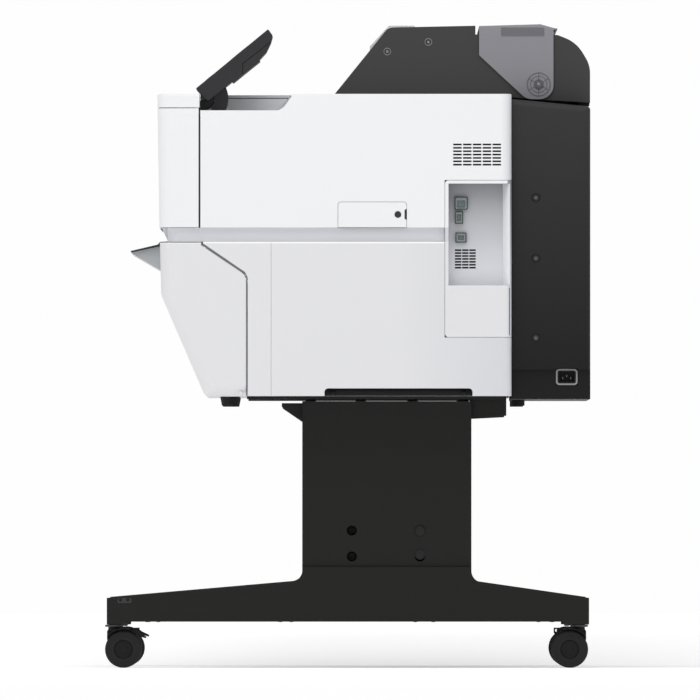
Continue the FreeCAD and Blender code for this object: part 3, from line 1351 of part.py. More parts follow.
def rear_cover():
    """The black rear cover, open to the front and, over the roll's trough, to the top."""
    outer = new_body("rear_cover_shell")
    pad(outer, "YZ", [rear_outline("0")], "-rear_half", "2 * rear_half")
    side = value("rear_half")
    back = value("half_depth")
    soften(outer, "12", lambda middle, along: abs(abs(middle.x) - side) < 0.01 and abs(middle.y - back) < 0.01)
    for hand in (RIGHT, LEFT):
        low, length = span(hand, "rear_half - rear_inset", "rear_half + 5")
        step = rect(("body_back - 1", "half_depth + 5"), ("base - rear_base - 5", "base - rear_base + rear_step"))
        pocket(outer, "YZ", [step], low, length)
        face, depth = span(hand, "rear_half - 1.6", "rear_half")
        seats = [ring("roll_y - 5.1", "base + %g" % rise, "7.4") for rise in (339.2, 235.6, 99.5)]
        pocket(outer, "YZ", seats, face, depth)
    inner = new_body("rear_cover_inside")
    hollow = [("body_back - 5", "base - rear_base + wall"), ("half_depth - wall", "base - rear_base + wall"),
              ("half_depth - wall", "deck - rear_top - rear_fall - wall"), ("body_back - 5", "deck - rear_top - wall")]
    inside = "(rear_half - rear_inset - wall)"
    pad(inner, "YZ", [hollow], "-" + inside, "2 * " + inside)
    mouth = box("rear_mouth", ("-cheek_out", "cheek_out"), ("body_back - 5", "half_depth - wall"),
                ("deck - 60", "deck + 20"))
    x = ("rear_half - rear_inset - wall - 10", "rear_half + 5")
    socket = box("inlet_hole", x, ("inlet_front", "inlet_front + inlet_width"),
                 ("base + inlet_low", "base + inlet_low + inlet_height"))
    keep("rear_cover", carve("rear_cover_cut", outer, [inner, mouth, socket]))


def power_inlet():
    """A plain inlet for a power lead, with three pins in a rounded socket."""
    body = new_body("power_inlet")
    face = "rear_half - rear_inset"
    y = ("inlet_front + 0.3", "inlet_front + inlet_width - 0.3")
    z = ("base + inlet_low + 0.3", "base + inlet_low + inlet_height - 0.3")
    case = [rect(y, z)[0] + ("2",), rect(y, z)[1] + ("6.3",), rect(y, z)[2] + ("6.3",), rect(y, z)[3] + ("2",)]
    pad(body, "YZ", [case], face + " - 26", "27.5")
    socket = rect(("inlet_front + 6", "inlet_front + inlet_width - 6"),
                  ("base + inlet_low + 6", "base + inlet_low + inlet_height - 6"))
    pocket(body, "YZ", [socket], face + " - 18", "21")
    middle = "inlet_front + inlet_width / 2"
    height = "base + inlet_low + inlet_height / 2"
    pins = [rect(("%s + %g" % (middle, y - 1), "%s + %g" % (middle, y + 1)),
                 ("%s + %g" % (height, z - 2), "%s + %g" % (height, z + 2))) for y, z in ((-7, -2), (0, 2), (7, -2))]
    pad(body, "YZ", pins, face + " - 19", "10")
    keep("power_inlet", body)


def screw(name, side, x, y, z, radius, depth):
    """A button head with a hexagon socket, seated at x with its axis along X."""
    low, length = span(side, x, x + " + " + depth)
    head = rod(name, "X", (y, z), radius, low, length)
    cut, run = span(side, x + " + %s / 2" % depth, x + " + %s + 1" % depth)
    socket = rod(name + "_socket", "X", (y, z), radius + " * 0.45", cut, run)
    return carve(name + "_cut", head, [socket])


def screws():
    pieces = []
    for side in (RIGHT, LEFT):
        for rise in (339.2, 235.6, 99.5):
            pieces.append(screw("rear_screw", side, "rear_half - 1.6", "roll_y - 5.1", "base + %g" % rise, "5", "2"))
        for y, z in (("hood_brow + 0.7", "brow - 38"), ("hood_brow + 71", "brow - 21.7")):
            pieces.append(screw("cheek_screw", side, "cheek_out - 1.6", y, z, "5", "2"))
        for y in ("beam_screw_front", "beam_screw_back"):
            for z in ("foot_top + beam_screw_low", "foot_top + beam_screw_low + beam_screw_rise"):
                pieces.append(screw("beam_screw", side, "leg_x - column_half + plate", y, z, "6.5", "4"))
    pieces.append(screw("access_screw", RIGHT, "half_width - 1.5", "access_back - 14.8", "neck + 22.3", "5.4", "1.3"))
    keep("screws", group("fixed_screws", pieces))


def printer_feet():
    """Rubber feet that the machine stands on when it is off its stand."""
    pieces = []
    for side in (RIGHT, LEFT):
        cone = doc.addObject("Part::Cone", "front_foot")
        tied(cone, "Radius1", "14.1")
        tied(cone, "Radius2", "17.1")
        tied(cone, "Height", "15.6")
        pieces.append(moved(cone, on_side(side, "ink_half - 40"), "ink_seam - 29.6", "base - 15.6"))
        x = on_side(side, "ink_half - 40")
        pieces.append(rod("rear_foot", "Z", (x, "body_back + 12.2"), "11.5", "base - 15.6",
                          "15.6 - rear_base"))
    keep("printer_feet", group("feet", pieces))


def roll_unit():
    for side, name in ((RIGHT, "right"), (LEFT, "left")):
        roll_cheek("roll_cheek_" + name, side)
        roll_adapter("roll_adapter_" + name, side)
    roll_housing()
    feed_strip()
    roll_lid()
    rear_cover()
    power_inlet()
    screws()
    printer_feet()


# The control panel, drawn level about its pivot and then tilted

def tilt(made):
    """Puts a piece that was drawn about the pivot in its place on the machine."""
    made.Placement = Placement(Vector(), Rotation(Vector(1, 0, 0), 1))
    tied(made, "Placement.Rotation.Angle", "panel_tilt")
    return moved(made, "panel_x", "pivot_y", "pivot_z")


def panel_profile():
    end = "panel_length"
    face = "panel_face"
    return [
        ("1.4", face), (end, face), (end + " - 0.8", face + " - 13.8", "5"), (end + " - 11", face + " - 20.9", "6"),
        (end + " - 27.6", face + " - 28.6", "9"), (end + " - 44.2", face + " - 31"),
        (end + " - 45", face + " - 33.7"), (end + " - 103.8", face + " - 33.2"),
        (end + " - 104.5", face + " - 30.2"), ("3.9", face + " - 29.5", "3"), ("1.6", face + " - 12.3"),
    ]


def control_panel():
    body = new_body("panel_case")
    pad(body, "YZ", [panel_profile()], "-panel_half", "2 * panel_half")
    top = value("panel_face")
    soften(body, "1.5", lambda middle, along: abs(middle.z - top) < 0.01)
    across = ("panel_ear - panel_half", "panel_half - panel_ear")
    width = "2 * (panel_half - panel_ear)"
    pocket(body, "YZ", [ring("0", "0", "barrel_radius + 1")], across[0], width)
    face = "panel_face"
    pocket(body, "XY", [rect(("8 - panel_half", "8 + 6"), ("62", "132"))], face + " - 1", "2")
    for node in ("power_key", "arrow_pad"):
        x, y, radius = KEYS[node]
        pocket(body, "XY", [ring(x, y, radius + " + slack")], face + " - 3", "4")
    sector = new_body("sector")
    arc = [ring("0", "0", "sector_radius"), ring("0", "0", "barrel_radius + 1")]
    pad(sector, "YZ", arc, across[0] + " + 1", width + " - 2")
    steep, shallow = "(panel_tilt + 50)", "12"
    keep_out = [("0", "0"), ("100 * cos(%s)" % steep, "-100 * sin(%s)" % steep), ("-120", "-100 * sin(%s)" % steep),
                ("-120", "120"), ("100", "120"), ("100", "-100 * sin(%s)" % shallow)]
    pocket(sector, "YZ", [keep_out], across[0], width)
    ears = []
    for side in (RIGHT, LEFT):
        start, run = span(side, "panel_half - panel_ear - 8", "panel_half - 4")
        ears.append(rod("panel_pin", "X", ("0", "0"), "4", start, run))
    keep("control_panel", tilt(join("panel_parts", [body, sector] + ears)))


# Each key: across and along the panel from its pivot, and its radius
KEYS = {
    "power_key": ("54", "30", "7"),
    "arrow_pad": ("46", "98", "20"),
    "ok_key": ("46", "98", "7.5"),
}


def panel_hinge():
    """The fixed barrel in the tray that the panel's ears turn on."""
    half = "(panel_half - panel_ear)"
    barrel = rod("hinge_barrel", "X", ("pivot_y", "pivot_z"), "barrel_radius", "panel_x - " + half, "2 * " + half)
    front = box("barrel_front", ("panel_x - 100", "panel_x + 100"), ("pivot_y - 60", "corner_y + door_gap / 2"),
                ("pivot_z - 60", "pivot_z + 60"))
    foot = box("barrel_foot", ("panel_x - %s + 2" % half, "panel_x + %s - 2" % half),
               ("corner_y + door_gap / 2", "pivot_y"), ("tray", "pivot_z - 12"))
    hole = rod("barrel_bore", "X", ("pivot_y", "pivot_z"), "4 + fit", "panel_x - 100", "200")
    keep("panel_hinge", carve("barrel_cut", join("barrel_and_foot", [barrel, foot]), [front, hole]))


def keys():
    """The keys stand in shallow wells, clear of the floor by more than their travel."""
    face = "panel_face"
    for node, (x, y, radius) in KEYS.items():
        body = new_body(node)
        outline = [ring(x, y, radius)]
        if node == "arrow_pad":
            outline.append(ring(x, y, "7.5 + 2 * slack"))
        pad(body, "XY", outline, face + " - 3 + key_travel + 0.2", "3 - key_travel - 0.2 + key_proud")
        keep(node, tilt(body))


def panel():
    control_panel()
    panel_hinge()
    keys()


# Writing the pieces out

def check():
    for made in doc.Objects:
        if "Invalid" in made.State or "Error" in made.State:
            raise ValueError("%s failed: %s" % (made.Name, made.State))
    for node, made in nodes.items():
        if made.Shape.isNull() or not made.Shape.isValid():
            raise ValueError(node + " has no valid shape")


def write():
    os.makedirs("parts", exist_ok=True)
    for node, made in nodes.items():
        made.Shape.exportStep("parts/%s.step" % node)


fill_sheet()
stand()
engine()
covers()
roll_unit()
panel()
doc.recompute()
check()
write()
print(len(nodes), "pieces")
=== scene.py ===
"""The looks of a free-standing large format plotter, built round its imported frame.

Everything is in metres in the frame's own axes: X to the machine's right, Y to its back, Z up.
Each operator builds one group of pieces, from sizes in the scene's property groups and places in the frame.
"""

import json
import math

import bmesh
import bpy
from bpy.props import FloatProperty, FloatVectorProperty, PointerProperty
from bpy.types import Operator, Panel, PropertyGroup
from mathutils import Matrix, Vector


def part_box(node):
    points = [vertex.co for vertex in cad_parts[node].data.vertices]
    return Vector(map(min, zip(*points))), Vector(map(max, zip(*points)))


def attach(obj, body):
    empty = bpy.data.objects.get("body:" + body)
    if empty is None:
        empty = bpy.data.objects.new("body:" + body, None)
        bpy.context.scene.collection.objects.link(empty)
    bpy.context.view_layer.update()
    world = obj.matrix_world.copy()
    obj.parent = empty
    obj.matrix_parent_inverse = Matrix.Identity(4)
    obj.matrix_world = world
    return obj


bl_info = {
    "name": "Large format plotter",
    "version": (1, 0, 0),
    "blender": (4, 5, 0),
    "location": "View3D > Sidebar > Plotter",
    "description": "Finishes, fittings and studio for a large format plotter on a castered stand",
    "category": "Object",
}

MM = 0.001

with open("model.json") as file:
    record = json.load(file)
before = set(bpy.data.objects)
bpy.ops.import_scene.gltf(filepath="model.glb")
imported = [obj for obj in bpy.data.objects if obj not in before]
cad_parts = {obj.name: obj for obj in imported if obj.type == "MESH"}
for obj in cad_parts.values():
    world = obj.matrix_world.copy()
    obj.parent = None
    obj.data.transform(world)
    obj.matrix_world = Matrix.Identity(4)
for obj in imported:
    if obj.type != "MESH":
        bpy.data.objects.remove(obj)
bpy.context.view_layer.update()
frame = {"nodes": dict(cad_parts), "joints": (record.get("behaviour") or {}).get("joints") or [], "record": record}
NODES = frame["nodes"]
BOX = {node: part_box(node) for node in NODES}
PLACE = {joint["name"]: Vector(joint["pos_m"]) for joint in frame["joints"] if "pos_m" in joint}
WALL = 3 * MM
SLOT = {row["node"]: row["material_slot"] for row in frame["record"]["subparts"]}

# Levels and faces that the fittings line up with
SIDE = BOX["side_cover_right"][1].x
BASE = BOX["lower_cover_right"][0].z
SHELF = BOX["lower_cover_right"][1].z
NECK = BOX["side_cover_right"][0].z
DECK = BOX["side_cover_right"][1].z
TRAY = BOX["panel_hinge"][0].z
BACK = BOX["side_cover_right"][1].y
ROLL = PLACE["roll_lid_hinge"]
PIVOT = PLACE["panel_tilt"]
CHEEK = BOX["roll_cheek_right"][1].x
LID = BOX["roll_lid"][1]
RECESS_TOP = 0.8282
HANDS = (("right", 1), ("left", -1))
FINISH = {}


# Sizes and colours that a user would change

def linear(red, green, blue):
    """A colour in everyday 0-255 values as linear light."""
    values = []
    for part in (red, green, blue):
        share = part / 255
        values.append(share / 12.92 if share < 0.04 else ((share + 0.055) / 1.055) ** 2.4)
    return tuple(values)


def colour(name, note, red, green, blue):
    return FloatVectorProperty(name=name, description=note, subtype="COLOR", size=3, min=0, max=1,
                               default=linear(red, green, blue))


def length(name, note, default):
    return FloatProperty(name=name, description=note, unit="LENGTH", subtype="DISTANCE", precision=4,
                         default=default)


class FinishSettings(PropertyGroup):
    white: colour("White", "Upper covers", 239, 240, 242)
    lower_white: colour("Lower white", "Covers of the lower body", 226, 226, 229)
    band: colour("Band", "Neck band", 211, 212, 217)
    recess: colour("Recess", "Inside of the port panel", 217, 218, 223)
    roll_black: colour("Roll unit", "Hood and cheeks", 63, 63, 63)
    # The rear cover's colour at its top; lower down it is painted darker, as painted shade.
    rear_black: colour("Rear cover", "Rear cover", 52, 52, 52)
    panel: colour("Panel", "Case of the control panel", 49, 49, 51)
    steel_black: colour("Powder coat", "Stand", 27, 27, 26)
    caster: colour("Caster", "Casters", 21, 21, 21)
    smoke: colour("Smoke", "Clear lid", 147, 146, 152)


class FittingSettings(PropertyGroup):
    screen_width: length("Screen width", "Display of the control panel", 0.074)
    # Width of the grey strip in the gap behind each ink cover: painted shade of the seam.
    seam_shade_strip: length("Seam lip", "Width of the sealing lip beside each ink cover", 2.2 * MM)
    hub_cap: length("Hub cap", "Radius of a caster's hub cap", 15.4 * MM)
    bolt_head: length("Bolt head", "Radius of the bolts under the feet", 5.5 * MM)


class StageSettings(PropertyGroup):
    lens: FloatProperty(name="Lens", description="Camera lens in millimetres", unit="CAMERA", default=1700)
    span: length("Span", "Width seen at the middle of the object", 1.197)
    plane: length("Plane", "Height of the span's plane out from the middle of the machine", 0.5)
    eye: length("Eye", "Height of the camera", 0.25)
    aim_y: length("Aim Y", "Point that the camera looks at, front to back", 0.0043)
    aim_z: length("Aim Z", "Point that the camera looks at, height", 0.5438)
    sky: FloatProperty(name="Sky", description="Strength of the even light", default=0.48, min=0)
    key: FloatProperty(name="Key", description="Power of the key light in watts", default=30, min=0)
    glow: FloatProperty(name="Glow", description="Light that the floor gives off itself", default=0.24, min=0)
    rise: length("Rise", "How far the floor rises behind the object", 0.06)


# Node trees

def shader_group(name, inputs, outputs):
    """An empty node group; inputs are (socket type, name, default)."""
    group = bpy.data.node_groups.new(name, "ShaderNodeTree")
    for kind, label, default in inputs:
        socket = group.interface.new_socket(name=label, in_out="INPUT", socket_type="NodeSocket" + kind)
        if default is not None:
            socket.default_value = default
    for kind, label in outputs:
        group.interface.new_socket(name=label, in_out="OUTPUT", socket_type="NodeSocket" + kind)
    return group, group.nodes.new("NodeGroupInput"), group.nodes.new("NodeGroupOutput")


def node(tree, kind, **settings):
    made = tree.nodes.new("ShaderNode" + kind)
    for name, setting in settings.items():
        if name in made.inputs:
            made.inputs[name].default_value = setting
        else:
            setattr(made, name, setting)
    return made


def wire(tree, source, target):
    tree.links.new(source, target)


def maths(tree, operation, first, second=None):
    """A Math node; each operand is a number or a socket."""
    made = node(tree, "Math", operation=operation)
    for index, operand in enumerate((first, second)):
        if operand is None:
            continue
        if isinstance(operand, (int, float)):
            made.inputs[index].default_value = operand
        else:
            wire(tree, operand, made.inputs[index])
    return made.outputs[0]


def frame_coordinates(tree):
    """The object's own coordinates, which are the frame's, in metres."""
    return node(tree, "TexCoord").outputs["Object"]


def noise(tree, where, scale, detail=2.0):
    made = node(tree, "TexNoise", Detail=detail)
    wire(tree, where, made.inputs["Vector"])
    if isinstance(scale, (int, float)):
        made.inputs["Scale"].default_value = scale
    else:
        wire(tree, scale, made.inputs["Scale"])
    return made.outputs["Fac"]


def build_grain():
    """Fine spark-eroded texture of moulded plastic, or orange peel of paint."""
    group, given, out = shader_group("Moulded grain", [("Float", "Scale", 900.0), ("Float", "Pebble", 0.5)],
                                     [("Float", "Height"), ("Float", "Fleck")])
    where = frame_coordinates(group)
    fine = noise(group, where, given.outputs["Scale"], 3.0)
    cells = node(group, "TexVoronoi", feature="SMOOTH_F1")
    wire(group, where, cells.inputs["Vector"])
    wire(group, given.outputs["Scale"], cells.inputs["Scale"])
    pebble = maths(group, "MULTIPLY", cells.outputs["Distance"], given.outputs["Pebble"])
    wire(group, maths(group, "ADD", fine, pebble), out.inputs["Height"])
    wire(group, fine, out.inputs["Fleck"])


def build_drift():
    """Slow change of tone over a large surface, with a few fine specks."""
    group, given, out = shader_group(
        "Tone drift", [("Color", "Colour", None), ("Float", "Amount", 0.04), ("Float", "Scale", 3.0)],
        [("Color", "Colour")])
    where = frame_coordinates(group)
    slow = noise(group, where, given.outputs["Scale"], 2.0)
    fast = noise(group, where, 240.0, 2.0)
    both = maths(group, "ADD", maths(group, "MULTIPLY", slow, 0.8), maths(group, "MULTIPLY", fast, 0.2))
    centred = maths(group, "SUBTRACT", both, 0.5)
    gain = maths(group, "ADD", maths(group, "MULTIPLY", centred, given.outputs["Amount"]), 1.0)
    scaled = node(group, "VectorMath", operation="SCALE")
    wire(group, given.outputs["Colour"], scaled.inputs[0])
    wire(group, gain, scaled.inputs["Scale"])
    wire(group, scaled.outputs[0], out.inputs["Colour"])


def build_dust():
    """A thin film of dust on what faces up, broken up by noise."""
    group, given, out = shader_group(
        "Settled dust", [("Color", "Colour", None), ("Float", "Amount", 0.15)],
        [("Color", "Colour"), ("Float", "Film")])
    facing = node(group, "SeparateXYZ")
    wire(group, node(group, "NewGeometry").outputs["Normal"], facing.inputs[0])
    up = maths(group, "POWER", maths(group, "MAXIMUM", facing.outputs["Z"], 0.0), 3.0)
    patches = noise(group, frame_coordinates(group), 18.0, 4.0)
    film = maths(group, "MULTIPLY", maths(group, "MULTIPLY", up, patches), given.outputs["Amount"])
    mix = node(group, "Mix", data_type="RGBA")
    wire(group, film, mix.inputs[0])
    wire(group, given.outputs["Colour"], mix.inputs[6])
    mix.inputs[7].default_value = (*linear(150, 148, 144), 1)
    wire(group, mix.outputs[2], out.inputs["Colour"])
    wire(group, film, out.inputs["Film"])


def build_brush():
    """Long fine streaks along X, as on drawn or ground steel."""
    group, given, out = shader_group("Brushed streaks", [("Float", "Scale", 400.0)],
                                     [("Float", "Height"), ("Float", "Streak")])
    stretch = node(group, "Mapping", Scale=(0.02, 1.0, 1.0))
    wire(group, frame_coordinates(group), stretch.inputs["Vector"])
    streak = noise(group, stretch.outputs[0], given.outputs["Scale"], 4.0)
    wire(group, streak, out.inputs["Height"])
    wire(group, streak, out.inputs["Streak"])


def build_plane_mask():
    """1 on the side of a plane that it faces, 0 behind it."""
    group, given, out = shader_group(
        "Plane mask", [("Vector", "Point", None), ("Vector", "Facing", None), ("Float", "Blend", 0.0002)],
        [("Float", "Mask")])
    away = node(group, "VectorMath", operation="SUBTRACT")
    wire(group, frame_coordinates(group), away.inputs[0])
    wire(group, given.outputs["Point"], away.inputs[1])
    dot = node(group, "VectorMath", operation="DOT_PRODUCT")
    wire(group, away.outputs[0], dot.inputs[0])
    wire(group, given.outputs["Facing"], dot.inputs[1])
    share = maths(group, "DIVIDE", dot.outputs["Value"], given.outputs["Blend"])
    clamp = node(group, "Clamp")
    wire(group, maths(group, "ADD", share, 0.5), clamp.inputs[0])
    wire(group, clamp.outputs[0], out.inputs["Mask"])


def build_soft_edge():
    """The small radius that every real edge has, so that it catches the light."""
    group, given, out = shader_group("Soft edge", [("Float", "Radius", 0.0006)], [("Vector", "Normal")])
    bevel = node(group, "Bevel", samples=4)
    wire(group, given.outputs["Radius"], bevel.inputs["Radius"])
    wire(group, bevel.outputs[0], out.inputs["Normal"])


class Recipe:
    """A material being built: one Principled shader with groups plugged into it."""

    def __init__(self, name, **sockets):
        self.material = bpy.data.materials.new(name)
        self.material.use_nodes = True
        self.tree = self.material.node_tree
        self.tree.nodes.clear()
        self.shader = node(self.tree, "BsdfPrincipled", **sockets)
        output = node(self.tree, "OutputMaterial")
        wire(self.tree, self.shader.outputs[0], output.inputs["Surface"])
        FINISH[name] = self.material

    def sheen_off(self, tint):
        """Matt black mouldings and paint reflect less at their surface than gloss ones."""
        if max(tint) < 0.1:
            self.shader.inputs["Specular IOR Level"].default_value = 0.2

    def group(self, name, **values):
        made = self.tree.nodes.new("ShaderNodeGroup")
        made.node_tree = bpy.data.node_groups[name]
        for socket, setting in values.items():
            made.inputs[socket].default_value = setting
        return made

    def feed(self, source, socket):
        wire(self.tree, source, self.shader.inputs[socket])

    def base(self, tint, drift=0.04, dust=0.0, drift_scale=3.0):
        """Plugs the colour, given as a tuple or a socket, through drift and dust into the shader."""
        tone = self.group("Tone drift", Amount=drift, Scale=drift_scale)
        if isinstance(tint, bpy.types.NodeSocket):
            wire(self.tree, tint, tone.inputs["Colour"])
        else:
            tone.inputs["Colour"].default_value = (*tint, 1)
        last = tone.outputs["Colour"]
        if dust:
            film = self.group("Settled dust", Amount=dust)
            wire(self.tree, last, film.inputs["Colour"])
            last = film.outputs["Colour"]
        self.feed(last, "Base Color")

    def relief(self, group, output, depth, edge=0.0006):
        """Bump from a group's height, over softened edges."""
        soft = self.group("Soft edge", Radius=edge)
        bump = node(self.tree, "Bump", Distance=depth, Strength=1.0)
        wire(self.tree, group.outputs[output], bump.inputs["Height"])
        wire(self.tree, soft.outputs["Normal"], bump.inputs["Normal"])
        self.feed(bump.outputs["Normal"], "Normal")

    def gloss(self, source, low, high):
        """Roughness that follows a mask between two values."""
        spread = node(self.tree, "MapRange")
        spread.inputs["From Min"].default_value = 0.3
        spread.inputs["From Max"].default_value = 0.7
        spread.inputs["To Min"].default_value = low
        spread.inputs["To Max"].default_value = high
        wire(self.tree, source, spread.inputs["Value"])
        self.feed(spread.outputs["Result"], "Roughness")

    def blend(self, mask, first, second):
        """first where the mask is 0 and second where it is 1; each is a tuple or a socket."""
        mix = node(self.tree, "Mix", data_type="RGBA")
        wire(self.tree, mask, mix.inputs[0])
        for index, tint in ((6, first), (7, second)):
            if isinstance(tint, bpy.types.NodeSocket):
                wire(self.tree, tint, mix.inputs[index])
            else:
                mix.inputs[index].default_value = (*tint, 1)
        return mix.outputs[2]


def moulded(name, tint, rough=0.42, scale=1100.0, depth=0.00002, dust=0.0, drift=0.03, edge=0.0007):
    """Matt-textured injection moulding."""
    recipe = Recipe(name)
    recipe.sheen_off(tint)
    recipe.base(tint, drift=drift, dust=dust)
    grain = recipe.group("Moulded grain", Scale=scale)
    recipe.relief(grain, "Height", depth, edge)
    recipe.gloss(grain.outputs["Fleck"], rough - 0.05, rough + 0.07)
    return recipe


def painted_shade_moulding(name, first, second, middle, facing, reach, dark=False, dust=0.0):
    """Moulding with painted shade: its tone changes slowly along one direction, from first to second."""
    recipe = Recipe(name)
    if dark:
        recipe.shader.inputs["Specular IOR Level"].default_value = 0.2
    shade_ramp = recipe.group("Plane mask", Point=middle, Facing=facing, Blend=reach)
    recipe.base(recipe.blend(shade_ramp.outputs[0], first, second), drift=0.06, dust=dust)
    grain = recipe.group("Moulded grain", Scale=1100.0)
    recipe.relief(grain, "Height", 0.00003)
    recipe.gloss(grain.outputs["Fleck"], 0.44, 0.56)


def cover(name, tint, rear, middle, reach, lip=None):
    """White moulding, greyer towards its rear as painted shade, with a painted highlight along the upper edge of the
    lower body.
    """
    recipe = Recipe(name)
    # Painted shade: greyer towards the rear.
    shade_ramp = recipe.group("Plane mask", Point=(0, BACK - middle, 0), Facing=(0, 1, 0), Blend=reach)
    tone = recipe.blend(shade_ramp.outputs[0], tint, rear)
    # Painted highlight: a white line along the top edge, when a height for it is given.
    if lip:
        edge = recipe.group("Plane mask", Point=(0, 0, lip), Facing=(0, 0, 1), Blend=0.6 * MM)
        tone = recipe.blend(edge.outputs[0], tone, linear(255, 255, 255))
    recipe.base(tone, drift=0.03, dust=0.02)
    grain = recipe.group("Moulded grain", Scale=1100.0)
    recipe.relief(grain, "Height", 0.00002, 0.0007)
    recipe.gloss(grain.outputs["Fleck"], 0.37, 0.49)


def metal(name, tint, rough=0.32, depth=0.000008):
    recipe = Recipe(name, Metallic=1.0)
    recipe.base(tint, drift=0.08, drift_scale=9.0)
    brush = recipe.group("Brushed streaks")
    recipe.relief(brush, "Height", depth, 0.0003)
    recipe.gloss(brush.outputs["Streak"], rough - 0.08, rough + 0.12)
    return recipe


def painted(name, tint, rough=0.45, dust=0.05):
    """Powder coat: a wide, shallow orange peel."""
    recipe = Recipe(name)
    recipe.sheen_off(tint)
    recipe.base(tint, drift=0.06, dust=dust)
    grain = recipe.group("Moulded grain", Scale=520.0, Pebble=0.8)
    recipe.relief(grain, "Height", 0.00004, 0.0008)
    recipe.gloss(grain.outputs["Fleck"], rough - 0.06, rough + 0.08)
    return recipe


def clear(name, tint, alpha, rough):
    """Clear or smoked plastic that lets part of the light straight through."""
    recipe = Recipe(name, Roughness=rough, Alpha=alpha, IOR=1.49)
    recipe.base(tint, drift=0.02)
    grain = recipe.group("Moulded grain", Scale=300.0)
    recipe.relief(grain, "Height", 0.000004, 0.0004)
    return recipe


def port_panel_finish(settings):
    """White outside with the neck's band across it, and grey in the recess, painted darker towards its top as shade.
    """
    recipe = Recipe("port_grey")
    inside = recipe.group("Plane mask", Point=(SIDE - 1.2 * MM, 0, 0), Facing=(-1, 0, 0), Blend=0.6 * MM)
    # Painted shade: the recess darkens towards its top, where less light reaches into it.
    recess_shade = recipe.group("Plane mask", Point=(0, 0, RECESS_TOP - 70 * MM), Facing=(0, 0, -1), Blend=0.15)
    depth = recipe.blend(recess_shade.outputs[0], linear(148, 149, 153), tuple(settings.recess))
    above = recipe.group("Plane mask", Point=(0, 0, SHELF), Facing=(0, 0, 1))
    below = recipe.group("Plane mask", Point=(0, 0, NECK), Facing=(0, 0, -1))
    band = maths(recipe.tree, "MULTIPLY", above.outputs[0], below.outputs[0])
    upper = recipe.blend(above.outputs[0], tuple(settings.lower_white), tuple(settings.white))
    outside = recipe.blend(band, upper, tuple(settings.band))
    recipe.base(recipe.blend(inside.outputs[0], outside, depth), drift=0.03)
    grain = recipe.group("Moulded grain", Scale=1100.0)
    recipe.relief(grain, "Height", 0.00002)
    recipe.gloss(grain.outputs["Fleck"], 0.37, 0.49)


def guide_finish():
    """A black top plate on a grey wedge."""
    low = BOX["eject_guide"][0]
    recipe = Recipe("guide_grey")
    front = Vector((0, low.y, SHELF - 16.6 * MM))
    rise = Vector((0, 51.8 * MM, 11.3 * MM)).normalized()
    plane = recipe.group("Plane mask", Point=front, Facing=(0, -rise.z, rise.y), Blend=0.1 * MM)
    recipe.base(recipe.blend(plane.outputs[0], linear(178, 182, 185), linear(30, 30, 31)), drift=0.05)
    grain = recipe.group("Moulded grain", Scale=900.0)
    recipe.relief(grain, "Height", 0.00002)
    recipe.gloss(grain.outputs["Fleck"], 0.38, 0.5)


def electronics_finish():
    """Galvanised case of the power supply and the green board behind the ports."""
    recipe = Recipe("board")
    board_side = recipe.group("Plane mask", Point=(0, 0, 0), Facing=(1, 0, 0))
    recipe.base(recipe.blend(board_side.outputs[0], linear(165, 166, 168), linear(26, 82, 48)), drift=0.1)
    grain = recipe.group("Moulded grain", Scale=500.0)
    recipe.relief(grain, "Height", 0.00002)
    recipe.gloss(grain.outputs["Fleck"], 0.3, 0.5)
    recipe.feed(maths(recipe.tree, "SUBTRACT", 0.8, maths(recipe.tree, "MULTIPLY", board_side.outputs[0], 0.8)),
                "Metallic")


def lamp_finish(name, tint, strength):
    recipe = Recipe(name, Roughness=0.3)
    recipe.base(tint, drift=0.02)
    recipe.shader.inputs["Emission Color"].default_value = (*tint, 1)
    recipe.shader.inputs["Emission Strength"].default_value = strength


def screen_finish():
    """Dark glass over an unlit display."""
    recipe = Recipe("screen_glass", Roughness=0.08, IOR=1.5)
    recipe.base(linear(14, 16, 20), drift=0.1, drift_scale=20.0)
    recipe.shader.inputs["Coat Weight"].default_value = 0.6
    recipe.shader.inputs["Coat Roughness"].default_value = 0.04


